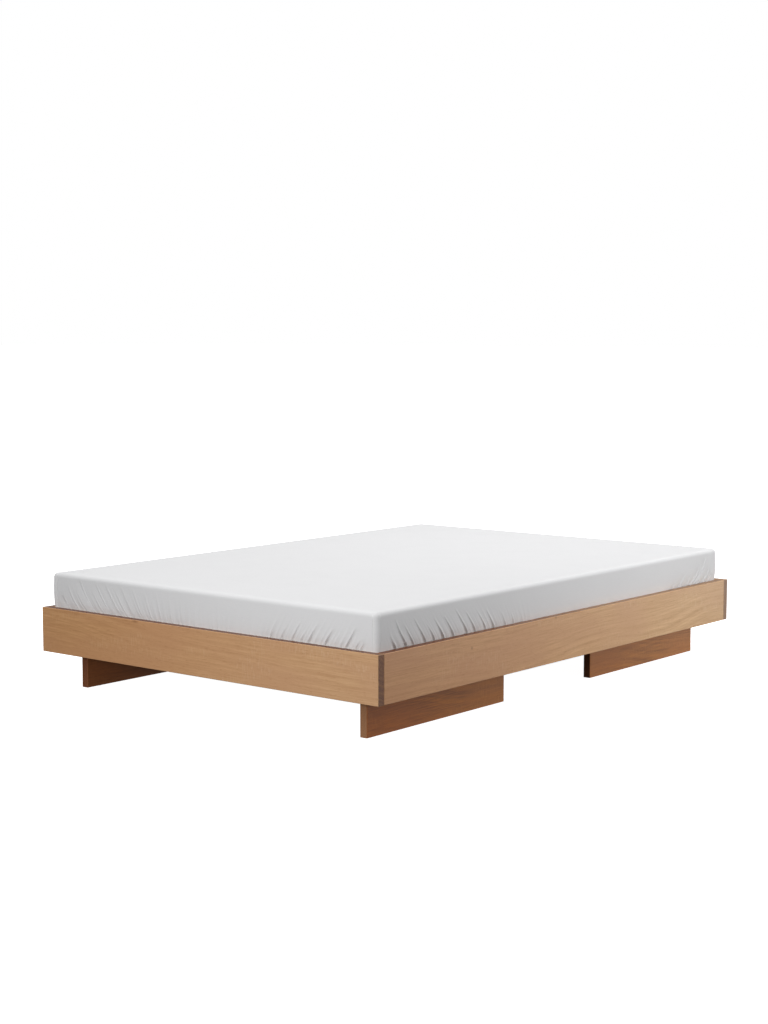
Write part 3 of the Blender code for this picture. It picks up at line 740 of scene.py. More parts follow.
class BED_OT_fittings(bpy.types.Operator):
    """Plate the brackets, bolts and beam hangers, finish the floor glides, and add the wood screws"""

    bl_idname = "bed.fittings"
    bl_label = "Fittings, Glides and Screws"
    bl_options = {"REGISTER", "UNDO"}

    def execute(self, context):
        tones = context.scene.bed_fittings
        base = context.scene.bed_base
        plated = zinc_plate("zinc_plated_steel", tones.zinc, tones.zinc_warm)
        nylon = moulded_nylon("moulded_nylon", tones.glide)
        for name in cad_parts:
            if name.startswith(("corner_bracket", "bolt_", "beam_hanger")):
                wear(name, plated)
            elif name.startswith("floor_glide"):
                wear(name, nylon)
        screw = self.screw(base, zinc_plate("yellow_passivated_steel", tones.steel, tones.zinc_warm))
        for count, (turn, spot) in enumerate(self.spots(), 1):
            placed = Matrix.Translation(spot) @ turn.to_matrix().to_4x4()
            piece = copy_piece(screw, f"wood_screw_{count:02d}", placed)
            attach(piece, "bed_frame")
        bpy.data.objects.remove(screw)
        return {"FINISHED"}

    def spots(self):
        """(turn, place) of each screw: along the ledger strips, in the end slats, and up through the bearers
        from below."""
        found = []
        for side, way in (("right", -1), ("left", 1)):
            low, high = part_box(f"ledger_strip_{side}")
            face = low.x if way < 0 else high.x
            out = Vector((way, 0.0, 0.0))
            for k in range(LEDGER_SCREWS):
                y = low.y + (0.05 + 0.9 * k / (LEDGER_SCREWS - 1)) * (high.y - low.y)
                found.append((out.to_track_quat("Z", "Y"), Vector((face, y, (low.z + high.z) / 2))))
        up = Vector((0.0, 0.0, 1.0)).to_track_quat("Z", "Y")
        for slat in (SLAT_NAMES[0], SLAT_NAMES[-1]):
            low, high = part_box(slat)
            for x in (low.x + SLAT_SCREW_INSET, high.x - SLAT_SCREW_INSET):
                found.append((up, Vector((x, (low.y + high.y) / 2, high.z))))
        down = Vector((0.0, 0.0, -1.0)).to_track_quat("Z", "Y")
        for end in END_NAMES:
            for row in ("inner", "outer"):
                low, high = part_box(f"cross_bearer_{end}_{row}")
                for x in (low.x + BEARER_SCREW_INSET, high.x - BEARER_SCREW_INSET):
                    found.append((down, Vector((x, (low.y + high.y) / 2, low.z))))
        return found

    def screw(self, base, steel):
        """A low domed screw head with a cross recess, its underside at the origin."""
        deselect()
        radius, height = base.screw / 2, base.screw_height
        bpy.ops.mesh.primitive_cylinder_add(
            vertices=SCREW_SIDES, radius=radius, depth=0.35 * height, location=(0.0, 0.0, 0.175 * height)
        )
        head = bpy.context.active_object
        head.name = "screw_pattern"
        bpy.ops.object.transform_apply(location=True, rotation=False, scale=False)
        bpy.ops.object.mode_set(mode="EDIT")
        for rise, taper in ((0.35, 0.86), (0.2, 0.74)):
            select_where(head, lambda centre, normal: normal.z > 0.9)
            bpy.ops.mesh.extrude_region_move(TRANSFORM_OT_translate={"value": (0.0, 0.0, rise * height)})
            bpy.ops.transform.resize(value=(taper, taper, 1.0))
        bpy.ops.object.mode_set(mode="OBJECT")
        for size in ((1.05 * radius, 0.22 * radius), (0.22 * radius, 1.05 * radius)):
            bpy.ops.mesh.primitive_cube_add(size=1.0, location=(0.0, 0.0, height))
            cutter = bpy.context.active_object
            cutter.scale = (size[0], size[1], 1.2 * height)
            bpy.ops.object.transform_apply(location=True, rotation=False, scale=True)
            deselect()
            head.select_set(True)
            bpy.context.view_layer.objects.active = head
            recess = head.modifiers.new("recess", "BOOLEAN")
            recess.operation = "DIFFERENCE"
            recess.solver = "EXACT"
            recess.object = cutter
            bpy.ops.object.modifier_apply(modifier=recess.name)
            bpy.data.objects.remove(cutter)
        head.data.materials.clear()
        head.data.materials.append(steel)
        return head


# ---------------------------------------------------------------- rings round the mattress


REACH_FADE = 0.12  # over which the columns go from fine to coarse
LEAST_RADIUS = 2 * MM  # of a ring's corners, however far in it lies
WAVES = 7  # crossed in soft_noise


class Outline:
    """The mattress's rounded outline seen from above, cut into columns that run down its sides.

    Each column knows its side, its place along the straight part, and how far it is from the two corners that
    the side ends at. Columns are close together where the sheet is gathered and further apart elsewhere."""

    def __init__(self, half_x, half_y, corner, fine, coarse, reaches, corner_steps):
        self.half = (half_x, half_y)
        self.corner = corner
        columns = []
        for side in range(4):
            run = 2 * (half_y if side % 2 == 0 else half_x) - 2 * corner
            for at in self.steps(run, fine[side], coarse, *reaches[side]):
                columns.append((side, at, at + corner, run - at + corner, -1.0))
            for k in range(1, corner_steps):
                columns.append((side, run, run + corner, 0.0, k / corner_steps))
        side, self.place, self.start, self.end, self.arc = np.array(columns).T
        self.side = side.astype(int)
        self.count = len(columns)

    @staticmethod
    def steps(run, fine, coarse, first, last):
        """Places from 0 to run, fine within first of the start and last of the end, coarse between."""
        found, at = [], 0.0
        while at < run - 0.5 * fine:
            found.append(at)
            near = ease(at, first, first + REACH_FADE)
            far = ease(run - at, last, last + REACH_FADE)
            at += fine + (coarse - fine) * min(near, far)
        return found + [run]

    def ring(self, inset, moved=0.0, out=0.0):
        """(x, y) of every column at this inset, moved along its side and pushed out from it."""
        radius = max(self.corner - inset, LEAST_RADIUS)
        half_x, half_y = self.half[0] - inset, self.half[1] - inset
        lengthwise = self.side % 2 == 0
        run = np.where(lengthwise, 2 * self.half[1], 2 * self.half[0]) - 2 * self.corner
        share_along = np.clip((self.place + moved) / run, 0.0, 1.0)
        # Side 0 is at +X and runs towards +Y, and the others follow it round.
        turn = self.side * math.pi / 2
        normal = np.stack([np.cos(turn), np.sin(turn)], 1)
        tangent = np.stack([-np.sin(turn), np.cos(turn)], 1)
        reach = np.where(lengthwise, half_x, half_y)
        half_run = np.where(lengthwise, half_y, half_x) - radius
        flat = normal * reach[:, None] + tangent * (half_run * (2 * share_along - 1))[:, None]
        bend = np.clip(self.arc, 0.0, 1.0) * math.pi / 2
        centre = normal * (reach - radius)[:, None] + tangent * half_run[:, None]
        outward = normal * np.cos(bend)[:, None] + tangent * np.sin(bend)[:, None]
        round_part = centre + outward * radius
        on_arc = self.arc >= 0
        place = np.where(on_arc[:, None], round_part, flat)
        outward = np.where(on_arc[:, None], outward, normal)
        return place + outward * np.broadcast_to(out, self.count)[:, None]


def quads_between(first, second, count):
    """Faces that join two rings of count points, numbered from first and second."""
    k = np.arange(count)
    nxt = (k + 1) % count
    return np.stack([first + k, first + nxt, second + nxt, second + k], 1).tolist()


def zipper(outer, outer_share, inner, inner_share):
    """Triangles that join two closed loops of unlike numbers of points, by their share of the way round."""
    faces, a, b = [], 0, 0
    n, m = len(outer), len(inner)
    while a < n or b < m:
        next_outer = outer_share[a + 1] if a + 1 < n else 1.0 + (a + 1 - n)
        next_inner = inner_share[b + 1] if b + 1 < m else 1.0 + (b + 1 - m)
        if b >= m or (a < n and next_outer <= next_inner):
            faces.append((outer[a % n], outer[(a + 1) % n], inner[b % m]))
            a += 1
        else:
            faces.append((outer[a % n], inner[(b + 1) % m], inner[b % m]))
            b += 1
    return faces


def plane_grid(half_x, half_y, step):
    """Points of a rectangle about the middle, its quads, and the numbers of its border, which starts at the
    +X side's -Y corner and runs round towards +Y."""
    nx, ny = max(2, round(2 * half_x / step)), max(2, round(2 * half_y / step))
    xs, ys = np.linspace(-half_x, half_x, nx + 1), np.linspace(-half_y, half_y, ny + 1)
    points = np.array([(x, y) for y in ys for x in xs])
    number = np.arange(len(points)).reshape(ny + 1, nx + 1)
    quads = np.stack([number[:-1, :-1], number[:-1, 1:], number[1:, 1:], number[1:, :-1]], -1).reshape(-1, 4)
    border = np.concatenate([number[:-1, -1], number[-1, :0:-1], number[:0:-1, 0], number[0, :-1]])
    return points, quads, border


def corner_share(points, half_x, half_y):
    """How far round a rectangle's border each point is, a quarter a side, from the +X side's -Y corner."""
    x, y = points[:, 0] / half_x, points[:, 1] / half_y
    side = np.where(
        (x >= np.abs(y) - 1e-9) & (x > 0), 0,
        np.where((y >= np.abs(x) - 1e-9) & (y > 0), 1, np.where(-x >= np.abs(y) - 1e-9, 2, 3)),
    )
    along = np.choose(side, [y, -x, -y, x])
    return (side + (np.clip(along, -1, 1) + 1) / 2) / 4


def join_panel(outline, ring, first, used, inset, margin, step):
    """A flat grid inside a ring of the outline, as its points, the triangles that join it to the ring, and its
    quads. The ring's points are numbered from first, and the grid's from used."""
    ring_half = [half - inset for half in outline.half]
    grid_half = [half - margin for half in ring_half]
    grid, quads, rim = plane_grid(*grid_half, step)
    share_round = corner_share(ring[:, :2], *ring_half)
    order = np.roll(np.arange(outline.count), -int(np.argmin(share_round)))
    joined = zipper(
        (first + order).tolist(), share_round[order],
        (used + rim).tolist(), corner_share(grid[rim], *grid_half),
    )
    return grid, joined, (quads + used).tolist()


def tube(name, rings, made):
    """A closed tube along these rings of points, each joined to the next and the last to the first."""
    count = len(rings[0])
    faces = []
    for k in range(len(rings)):
        faces += quads_between(k * count, (k + 1) % len(rings) * count, count)
    return mesh_piece(name, np.concatenate(rings), faces, made)


def soft_noise(x, y, size, seed):
    """Smooth waves without a pattern, from about -1 to 1: a few crossed sines of unlike lengths."""
    rng = np.random.default_rng(seed)
    total = np.zeros_like(x)
    for _ in range(WAVES):
        turn, phase = rng.uniform(0, math.pi), rng.uniform(0, 2 * math.pi)
        wave = size * rng.uniform(0.6, 1.7)
        total = total + np.sin((x * math.cos(turn) + y * math.sin(turn)) * 2 * math.pi / wave + phase)
    return total / (WAVES / 2)


# ---------------------------------------------------------------- mattress

MATTRESS_CORNER = 22 * MM
MATTRESS_STEP = 14 * MM  # between columns along its sides
LOWER_SEAM = 9 * MM  # up from the underside
UPPER_SEAM = 14 * MM  # down from the top
LOWER_ROUND = 12 * MM  # how far the underside's edge is rounded inwards
UPPER_ROUND = 20 * MM
PANEL_INSET = 60 * MM  # from the sides to the even grid of a panel
PANEL_MARGIN = 20 * MM  # taken up by the triangles round that grid
BORDER_STEPS = 7
BULGE = 2 * MM  # of the border, halfway up
SETTLE = 4.4 * MM  # how far the underside comes down inside the sheet's opening
PIPING_SIDES = 8


class BED_OT_mattress(bpy.types.Operator):
    """Model the mattress: quilted ticking top and bottom, a striped border, and piping on the seams"""

    bl_idname = "bed.mattress"
    bl_label = "Mattress"
    bl_options = {"REGISTER", "UNDO"}

    def execute(self, context):
        settings = context.scene.bed_mattress
        ticking = knitted_ticking("knitted_ticking", False)
        border = knitted_ticking("striped_border_ticking", True)
        low = SHEET_LOW.z + 5.0 * MM
        high = SHEET_HIGH.z - 2.2 * MM
        half_x = SHEET_HIGH.x - settings.inset
        half_y = SHEET_HIGH.y - settings.inset
        outline = Outline(
            half_x, half_y, MATTRESS_CORNER, [MATTRESS_STEP] * 4, MATTRESS_STEP, [(0.0, 0.0)] * 4, 6
        )
        body = self.body(outline, low, high, settings, ticking, border)
        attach(body, "mattress")
        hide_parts("mattress_core")
        for name, height in (("lower", low + LOWER_SEAM), ("upper", high - UPPER_SEAM)):
            piping = self.piping(f"mattress_piping_{name}", outline, height, settings.piping, ticking)
            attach(piping, "mattress")
        return {"FINISHED"}

    def body(self, outline, low, high, settings, ticking, border):
        """The padded body. Its bottom settles down through the sheet's opening onto the slats."""
        under = [(PANEL_INSET, low), (PANEL_INSET / 2, low)]
        for turn in quarter(5):
            under.append((LOWER_ROUND * (1 - math.sin(turn)), low + LOWER_SEAM * (1 - math.cos(turn))))
        sides = []
        for k in range(1, BORDER_STEPS):
            at = k / BORDER_STEPS
            level = low + LOWER_SEAM + at * (high - low - LOWER_SEAM - UPPER_SEAM)
            sides.append((-BULGE * math.sin(at * math.pi), level))
        above = []
        for turn in quarter(5):
            above.append((UPPER_ROUND * (1 - math.cos(turn)), high - UPPER_SEAM * (1 - math.sin(turn))))
        above += [(34 * MM, high), (PANEL_INSET, high)]
        profile = under + sides + above
        border_rows = range(len(under), len(under) + BORDER_STEPS)
        points, faces, slots = [], [], []
        for number, (inset, height) in enumerate(profile):
            ring = outline.ring(inset)
            points.append(np.column_stack([ring, np.full(outline.count, height)]))
            if number:
                made = quads_between((number - 1) * outline.count, number * outline.count, outline.count)
                faces += made
                slots += [int(number in border_rows)] * len(made)
        used = len(profile) * outline.count
        for number, height in ((0, low), (len(profile) - 1, high)):
            grid, joined, flat = join_panel(
                outline, points[number], number * outline.count, used, PANEL_INSET, PANEL_MARGIN, 15 * MM
            )
            points.append(np.column_stack([grid, np.full(len(grid), height)]))
            if height == low:
                joined = [face[::-1] for face in joined]
                flat = [face[::-1] for face in flat]
            faces += joined + flat
            slots += [0] * (len(joined) + len(flat))
            used += len(grid)
        points = np.concatenate(points)
        self.quilt(points, outline, low, high, settings)
        body = mesh_piece("mattress_body", points, faces, ticking)
        body.data.materials.append(border)
        body.data.polygons.foreach_set("material_index", slots)
        return body

    def quilt(self, points, outline, low, high, settings):
        """Presses the quilting seams into both panels, and lets the bottom down onto the slats."""
        x, y, z = points.T
        inside = np.minimum(outline.half[0] - np.abs(x), outline.half[1] - np.abs(y))
        panel = ease(inside, 22 * MM, 70 * MM)
        # Two sets of slanting seams cross in long diamonds.
        slants = np.stack([x + 0.5 * y, 0.5 * y - x])
        from_seam = np.abs(np.sin(slants * math.pi / settings.quilt)).min(axis=0)
        press = settings.quilt_depth * np.exp(-(from_seam / 0.16) ** 2) * panel
        bottom = z < low + 1 * MM
        top = z > high - 1 * MM
        drop = SETTLE * ease(inside, 112 * MM, 150 * MM)
        z[bottom] += press[bottom] - drop[bottom]
        z[top] -= press[top] + 1.0 * MM

    def piping(self, name, outline, height, radius, made):
        """A cord sewn along a seam, all round."""
        rings = []
        for k in range(PIPING_SIDES):
            turn = 2 * math.pi * k / PIPING_SIDES
            ring = outline.ring(-0.35 * radius - radius * math.cos(turn))
            rings.append(np.column_stack([ring, np.full(outline.count, height + radius * math.sin(turn))]))
        return tube(name, rings, made)


# ---------------------------------------------------------------- fitted sheet

HEM_HEIGHT = 0.4 * MM  # of the tucked cloth over the sheet's lowest level
HEM_ROUND = 8 * MM  # where the sheet turns under the mattress
BELOW_EDGE = 14 * MM  # where the close rows start, under the boards' top edge
DRAWN_REACH = 12 * MM  # the height over which the pull of the tuck fades
POCKET_LIMIT = 10 * MM  # so that no crease reaches the mattress
RIPPLE, RIPPLE_SIZE, RIPPLE_SEED = 0.5 * MM, 0.3, 21  # of the top, from pressing
CREST_WIDTH = 2.5  # of a gather's ridge, in millimetres
HEM_WIDTH, HEM_THICKNESS, HEM_SIDES = 9 * MM, 1.8 * MM, 8  # of the elastic in its casing

# The gathers, as (distance from the corner at the boards' top edge, height that the crease reaches, depth),
# in millimetres and as a share of the full depth. Each corner has its own along the foot and head ends and
# along the long sides, as each was pulled down by hand.
END_GATHERS = {
    "near": [
        (67, 22, 0.5), (86, 30, 0.6), (123, 62, 1.5), (204, 50, 1.2), (269, 58, 1.1), (300, 36, 0.4),
        (335, 62, 0.7), (378, 40, 0.4), (420, 56, 0.45),
    ],
    "far": [
        (76, 42, 1.5), (121, 78, 0.7), (158, 60, 0.4), (196, 108, 1.5), (240, 66, 0.4), (275, 102, 0.9),
        (323, 104, 0.9), (355, 74, 0.45), (386, 98, 0.75), (428, 96, 0.6), (470, 84, 0.45), (512, 88, 0.45),
        (560, 74, 0.35), (604, 78, 0.35),
    ],
}
SIDE_GATHERS = {
    "near": [
        (94, 42, 0.75), (146, 86, 1.0), (180, 64, 0.75), (238, 78, 1.0), (282, 48, 0.6), (327, 66, 0.85),
        (377, 68, 0.85), (446, 80, 0.9), (488, 68, 0.8), (541, 58, 0.55), (584, 62, 0.6), (646, 46, 0.4),
        (690, 34, 0.25), (738, 30, 0.2),
    ],
    "far": [
        (66, 40, 0.8), (96, 54, 1.3), (149, 90, 2.3), (180, 62, 1.7), (222, 38, 0.8), (270, 48, 1.3),
        (318, 34, 0.6),
    ],
}


class BED_OT_fitted_sheet(bpy.types.Operator):
    """Shape the fitted sheet over the mattress, gathered towards its corners, with its elastic hem"""

    bl_idname = "bed.fitted_sheet"
    bl_label = "Fitted Sheet"
    bl_options = {"REGISTER", "UNDO"}

    def execute(self, context):
        sheet = context.scene.bed_sheet
        cotton = percale("white_cotton_percale")
        half_x, half_y = SHEET_HIGH.x, SHEET_HIGH.y
        # Side 0 is the right long side from foot to head, 1 the head end, 2 the left side, 3 the foot end.
        reaches = [(0.74, 0.34), (0.44, 0.6), (0.34, 0.74), (0.7, 0.7)]
        fine = [2.5 * MM, 4.0 * MM, 4.0 * MM, 2.5 * MM]
        self.outline = Outline(half_x, half_y, sheet.corner, fine, 9 * MM, reaches, 9)
        self.folds = self.list_folds()
        cloth, hem_line = self.cloth(sheet, cotton)
        hem = self.hem(hem_line, cotton)
        for piece in (cloth, hem):
            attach(piece, "mattress")
        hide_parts("fitted_sheet")
        return {"FINISHED"}

    def list_folds(self):
        """(side, from its start or its end, distance, reach, depth) of every gather."""
        plan = [
            (0, True, SIDE_GATHERS["near"]), (0, False, SIDE_GATHERS["far"]),
            (1, True, END_GATHERS["near"]), (1, False, END_GATHERS["far"]),
            (2, True, SIDE_GATHERS["far"]), (2, False, SIDE_GATHERS["near"]),
            (3, True, END_GATHERS["far"]), (3, False, END_GATHERS["near"]),
        ]
        rng = np.random.default_rng(12)
        found = []
        for side, from_start, gathers in plan:
            hidden = side in (1, 2)
            for at, reach, depth in gathers:
                wobble = rng.uniform(-9, 9) if hidden else 0.0
                found.append((side, from_start, (at + wobble) * MM, reach * MM, depth))
        return found

    def lean(self, distance, height, slope):
        """How far a point at this distance from a corner is drawn back towards it at a height."""
        rise = np.clip(height, 0.0, 0.094)
        ends = 0.85 * (1 - ease(distance, 0.3, 0.65))
        sides = 1 - ease(distance, 0.5, 1.0)
        full = slope * np.where(self.outline.side % 2 == 1, ends, sides) * rise
        return 0.85 * full * (1 - np.exp(-distance / np.maximum(full, 1e-5)))

    def creases(self, height, sheet):
        """Outward movement of every column at a height above the boards' top edge, from all the gathers."""
        outline = self.outline
        total = np.zeros(outline.count)
        for side, from_start, at, reach, depth in self.folds:
            span = outline.start if from_start else outline.end
            here = (outline.side == side) & (outline.arc < 0)
            # At the right side's head corner the folds were pulled the other way, and are wider.
            turned = side == 0 and not from_start
            t = (at - span if turned else span - at) / MM
            up = max(height, 0.0) / reach
            if up >= 1.0:
                continue
            # A deep crease stays deep further up.
            hold = min(0.5, 0.12 + 0.24 * depth)
            fade = (1 - up) ** 0.9
            near_edge = math.exp(-max(height, 0.0) / (9 * MM))
            pocket = sheet.pocket * depth * (hold * fade + (1 - hold) * near_edge)
            ridge = sheet.ridge * math.sqrt(depth) * (1 - up) ** 0.55
            broad = 1.5 if turned else 1.0
            # The crest falls off steeply towards the corner, into a pocket that rises slowly again.
            wide = (4.6 + 3.0 * up) * broad
            inward = np.maximum(-t, 0.0) / wide
            valley = inward * np.exp(1 - inward)
            crest = np.exp(-(t / (CREST_WIDTH * broad)) ** 2)
            total += np.where(here, ridge * crest - pocket * valley, 0.0)
        return total

    def gathered(self):
        """1 in the stretches of each side that are gathered, 0 where the sheet is smooth."""
        outline = self.outline
        total = np.zeros(outline.count)
        for side, from_start, at, _, depth in self.folds:
            span = outline.start if from_start else outline.end
            total += np.where(outline.side == side, depth * np.exp(-((span - at) / (45 * MM)) ** 2), 0.0)
        return np.clip(total / 1.2, 0.0, 1.0) * (outline.arc < 0)

    def fine_gathers(self, height, tuck=0.0):
        """Small even puckers that the elastic makes all along the edge, strongest under the mattress."""
        outline = self.outline
        along = outline.place + 3.0 * outline.side
        pucker = soft_noise(along, 0 * along, 15 * MM, 5) + 0.6 * soft_noise(along, 0 * along, 7.5 * MM, 6)
        fade = math.exp(-max(height, 0.0) / (34 * MM))
        mid_face = 0.35 + 0.65 * ease(np.minimum(outline.start, outline.end), 0.02, 0.2)
        ends = np.where(outline.side % 2 == 1, 1.0, 0.45)
        return pucker * (0.95 * MM * fade * mid_face * ends + 1.5 * MM * tuck)

    def cloth(self, sheet, cotton):
        """The sheet, ring by ring from its hem to the top, and its hem's points."""
        outline = self.outline
        low, high, edge = SHEET_LOW.z, SHEET_HIGH.z, BOARD_HIGH.z
        rows = self.rows(sheet, low, high, edge)
        pull = 2.6 + 3.6 * self.gathered()
        square = np.sin(np.clip(outline.arc, 0.0, 1.0) * math.pi)
        square = square * np.choose(outline.side, [-3.0, 0.0, 6.5, 1.0]) * MM
        points, uvs, faces = [], [], []
        travelled = 0.0
        before = rows[0][:2]
        for inset, level, tuck in rows:
            height = level - edge
            out = self.creases(height, sheet) * (1 - ease(level, high - 24 * MM, high - 8 * MM))
            out += self.fine_gathers(height) * (1 - ease(level, high - 40 * MM, high - 15 * MM))
            belly = 1.1 * MM * math.sin(math.pi * min(max(height / 0.1, 0.0), 1.0))
            drawn = -pull * MM * math.exp(-max(height, 0.0) / DRAWN_REACH)
            out = out + (belly + drawn) * (1 - tuck)
            # Beside the boards nothing reaches the wood, and nowhere does the sheet reach the mattress.
            room = 0.9 * MM + 4 * MM * ease(height, 1 * MM, 14 * MM)
            out = np.where(out > 0, room * np.tanh(out / room), POCKET_LIMIT * np.tanh(out / POCKET_LIMIT))
            out = (out + square) * (1 - tuck)
            ring = outline.ring(inset, self.lean_moves(height, sheet), out)
            lift = np.abs(self.fine_gathers(0.0, 1.0)) * min(1.0, tuck * 1.6)
            if inset > 0 and level > edge:
                lift = RIPPLE * soft_noise(*ring.T, RIPPLE_SIZE, RIPPLE_SEED) * ease(inset, 10 * MM, 50 * MM)
            points.append(np.column_stack([ring, level + lift]))
            travelled += math.hypot(inset - before[0], level - before[1])
            before = (inset, level)
            along = outline.place + 2.2 * outline.side
            uvs.append(np.column_stack([along, np.full(outline.count, travelled)]))
        for k in range(1, len(rows)):
            faces += quads_between((k - 1) * outline.count, k * outline.count, outline.count)
        self.close_top(points, uvs, faces, rows[-1][0], high)
        points = np.concatenate(points)
        cloth = mesh_piece("fitted_sheet_cloth", points, faces, cotton)
        self.lay_threads(cloth, np.concatenate(uvs))
        return cloth, points[:outline.count]

    def lean_moves(self, height, sheet):
        """How far each column is moved along its side at a height, so that the gathers lean."""
        outline = self.outline
        back = self.lean(outline.start, height, sheet.lean)
        forth = self.lean(outline.end, height, sheet.lean)
        return np.where(outline.arc >= 0, 0.0, forth - back)

    def rows(self, sheet, low, high, edge):
        """(inset, height, share of the way into the tuck) of each ring, from the hem to the top."""
        hem = low + HEM_HEIGHT
        rows = [(sheet.tuck * (1 - k / 6) + HEM_ROUND * k / 6, hem, 1 - k / 6) for k in range(6)]
        for turn in quarter(4):
            rows.append((HEM_ROUND * (1 - math.sin(turn)), hem + HEM_ROUND * (1 - math.cos(turn)), 0.0))
        heights = (hem + HEM_ROUND, edge - BELOW_EDGE, high - sheet.shoulder)
        for start, stop, count in ((heights[0], heights[1], 5), (heights[1], heights[2], 25)):
            rows += [(0.0, start + (stop - start) * k / count, 0.0) for k in range(1, count + 1)]
        for turn in quarter(7)[1:]:
            inset, rise = sheet.shoulder * (1 - math.cos(turn)), sheet.shoulder * math.sin(turn)
            rows.append((inset, heights[2] + rise, 0.0))
        return rows + [(inset * MM, high, 0.0) for inset in (27, 34, 46, 60)]

    def close_top(self, points, uvs, faces, inset, high):
        """The top panel: an even grid, joined to the innermost ring."""
        used = sum(len(p) for p in points)
        first = used - self.outline.count
        grid, joined, flat = join_panel(self.outline, points[-1], first, used, inset, 16 * MM, 22 * MM)
        wave = RIPPLE * soft_noise(*grid.T, RIPPLE_SIZE, RIPPLE_SEED)
        points.append(np.column_stack([grid, high + wave]))
        uvs.append(grid)
        faces += joined + flat

    def lay_threads(self, cloth, uvs):
        """A map in metres that follows the cloth. The column where a ring closes gets its own end value."""
        mesh = cloth.data
        layer = mesh.uv_layers.new(name="cloth")
        corners = np.empty(len(mesh.loops), dtype=np.int64)
        mesh.loops.foreach_get("vertex_index", corners)
        values = uvs[corners]
        starts = np.empty(len(mesh.polygons), dtype=np.int64)
        totals = np.empty(len(mesh.polygons), dtype=np.int64)
        mesh.polygons.foreach_get("loop_start", starts)
        mesh.polygons.foreach_get("loop_total", totals)
        face_of = np.repeat(np.arange(len(starts)), totals)
        widest = np.maximum.reduceat(values[:, 0], starts)
        jump = widest[face_of] - values[:, 0] > 1.0
        values[jump, 0] = widest[face_of][jump]
        layer.data.foreach_set("uv", values.ravel())

    def hem(self, line, cotton):
        """The elastic in its casing along the sheet's free edge, under the mattress."""
        line = line[::3]
        ahead = np.roll(line, -1, 0) - np.roll(line, 1, 0)
        side = np.column_stack([ahead[:, 1], -ahead[:, 0]])
        side /= np.maximum(np.linalg.norm(side, axis=1), 1e-9)[:, None]
        rings = []
        for k in range(HEM_SIDES):
            turn = 2 * math.pi * k / HEM_SIDES
            across, up = HEM_WIDTH / 2 * math.cos(turn), HEM_THICKNESS / 2 * math.sin(turn)
            rings.append(np.column_stack([line[:, :2] + side * across, line[:, 2] + 0.7 * MM + up]))
        hem = tube("sheet_elastic_hem", rings, cotton)
        layer = hem.data.uv_layers.new(name="cloth")
        for loop in hem.data.loops:
            spot = hem.data.vertices[loop.vertex_index].co
            layer.data[loop.index].uv = (spot.x, spot.y)
        return hem


# ---------------------------------------------------------------- stage

# Where each softbox stands, what it points at, its width and height in metres, and its power in watts.
SOFTBOXES = {
    "front_softbox": ((0.65, -3.2, 0.7), (0.5, -1.0, 0.3), (0.5, 0.5), 21.5),
    "side_softbox": ((2.4, 0.7, 0.46), (0.7, 0.5, 0.3), (0.6, 0.4), 9.9),
    "rim_softbox": ((2.9, 5.0, 0.3), (0.7, 0.9, 0.2), (1.8, 0.5), 42.0),
    "ceiling_softbox": ((0.1, 1.0, 2.4), (0.1, 0.6, 0.4), (2.2, 2.2), 14.0),
}


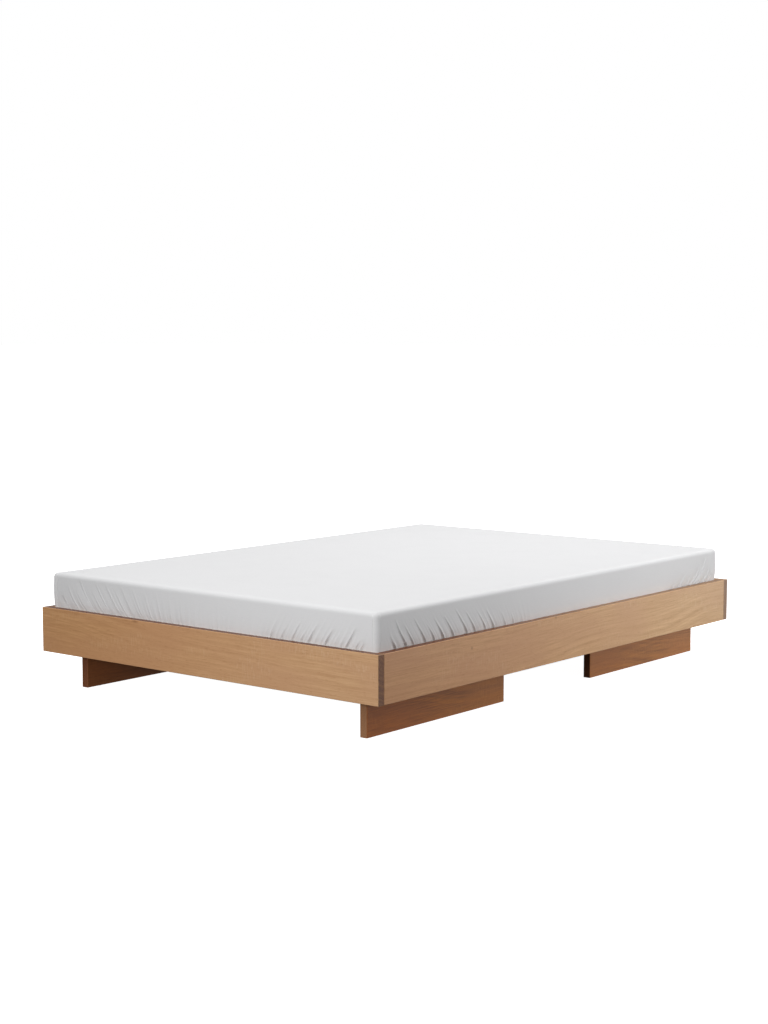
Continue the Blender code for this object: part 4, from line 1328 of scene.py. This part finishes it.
class BED_OT_stage(bpy.types.Operator):
    """Set up the pale floor, the soft lights and the camera"""

    bl_idname = "bed.stage"
    bl_label = "Studio"
    bl_options = {"REGISTER", "UNDO"}

    def execute(self, context):
        stage = context.scene.bed_stage
        self.floor(stage)
        self.dome(context.scene, stage)
        for name, softbox in SOFTBOXES.items():
            self.light(name, *softbox)
        self.camera(context.scene, stage)
        context.scene.view_settings.view_transform = "Standard"
        return {"FINISHED"}

    def floor(self, stage):
        """A seamless pale floor, lit from within a little, so that it stays plain and its shadow faint."""
        deselect()
        bpy.ops.mesh.primitive_plane_add(size=200.0, location=(0.0, 0.0, 0.0))
        floor = bpy.context.active_object
        floor.name = "studio_floor"
        made, tree = new_material("seamless_paper")
        tooth = grain_noise(tree, node(tree, "TexCoord", output="Object"), 0.4, 0.4, 1.0, 0.5)
        dull = tuple(c * 0.985 for c in stage.floor)
        color = node(tree, "Mix", BLEND, {0: tooth, 6: stage.floor, 7: dull}, 2)
        paper = node(tree, "BsdfPrincipled", inputs={
            "Base Color": color, "Roughness": 0.9, "Specular IOR Level": 0.0,
            "Emission Color": color, "Emission Strength": 1.12,
        })
        # From below, the paper lets light and sight through, so that the bed's underside can be looked at.
        below = node(tree, "NewGeometry", output="Backfacing")
        sides = node(tree, "MixShader", inputs=(below, paper, node(tree, "BsdfTransparent")))
        node(tree, "OutputMaterial", inputs={"Surface": sides}, output=None)
        floor.data.materials.append(made)
        floor.visible_diffuse = False
        floor.visible_glossy = False

    def dome(self, scene, stage):
        """Even light from above, and little from below the horizon."""
        world = bpy.data.worlds.new("studio_dome")
        scene.world = world
        world.use_nodes = True
        tree = world.node_tree
        tree.nodes.clear()
        up = node(tree, "SeparateXYZ", inputs=(node(tree, "TexCoord", output="Generated"),), output=2)
        rise = node(tree, "Math", MAXIMUM, (up, 0.0))
        above = node(tree, "Math", MULTIPLY_ADD, (rise, stage.zenith - stage.horizon, stage.horizon))
        over = node(tree, "MapRange", SMOOTH, (up, -0.02, 0.02))
        level = node(tree, "Mix", {"data_type": "FLOAT"}, {0: over, 2: stage.underside, 3: above})
        seen = node(tree, "LightPath", output="Is Camera Ray")
        level = node(tree, "Mix", {"data_type": "FLOAT"}, {0: seen, 2: level, 3: 1.0})
        back = node(tree, "Background", inputs={"Color": (1.0, 1.0, 1.0), "Strength": level})
        node(tree, "OutputWorld", inputs={"Surface": back}, output=None)

    def light(self, name, place, target, size, power):
        """A softbox that lights the bed but isn't seen itself."""
        data = bpy.data.lights.new(name, "AREA")
        data.shape = "RECTANGLE"
        data.size, data.size_y = size
        data.energy = power
        lamp = bpy.data.objects.new(name, data)
        bpy.context.scene.collection.objects.link(lamp)
        lamp.location = place
        lamp.rotation_euler = (Vector(target) - Vector(place)).to_track_quat("-Z", "Y").to_euler()
        lamp.visible_camera = False

    def camera(self, scene, stage):
        """The camera, upright, at the stage's place, turn and tilt."""
        data = bpy.data.cameras.new("studio_camera")
        data.lens = stage.lens
        data.sensor_fit = "AUTO"
        data.sensor_width = 36.0
        data.clip_end = 500.0
        camera = bpy.data.objects.new("studio_camera", data)
        scene.collection.objects.link(camera)
        camera.location = stage.eye
        camera.rotation_euler = (math.pi / 2 - stage.pitch, 0.0, stage.azimuth)
        scene.camera = camera


# ---------------------------------------------------------------- panel and registration


class BED_PT_sidebar(bpy.types.Panel):
    """Lists the steps that finish the bed"""

    bl_idname = "BED_PT_sidebar"
    bl_label = "Platform Bed"
    bl_space_type = "VIEW_3D"
    bl_region_type = "UI"
    bl_category = "Bed"

    def draw(self, context):
        for step in STEPS:
            self.layout.operator(step.bl_idname)
        for key in SETTINGS:
            box = self.layout.box()
            box.label(text=key.replace("_", " ").title())
            group = getattr(context.scene, key)
            for name in group.__annotations__:
                box.prop(group, name)


STEPS = (
    BED_OT_oiled_frame,
    BED_OT_slatted_base,
    BED_OT_slat_tapes,
    BED_OT_fittings,
    BED_OT_mattress,
    BED_OT_fitted_sheet,
    BED_OT_stage,
)


def register():
    for key, group in SETTINGS.items():
        bpy.utils.register_class(group)
        setattr(bpy.types.Scene, key, bpy.props.PointerProperty(type=group))
    for step in (*STEPS, BED_PT_sidebar):
        bpy.utils.register_class(step)


def unregister():
    for step in reversed((*STEPS, BED_PT_sidebar)):
        bpy.utils.unregister_class(step)
    for key, group in SETTINGS.items():
        delattr(bpy.types.Scene, key)
        bpy.utils.unregister_class(group)


def main():
    register()
    bpy.ops.bed.oiled_frame()
    bpy.ops.bed.slatted_base()
    bpy.ops.bed.slat_tapes()
    bpy.ops.bed.fittings()
    bpy.ops.bed.mattress()
    bpy.ops.bed.fitted_sheet()
    bpy.ops.bed.stage()


if __name__ == "__main__":
    main()
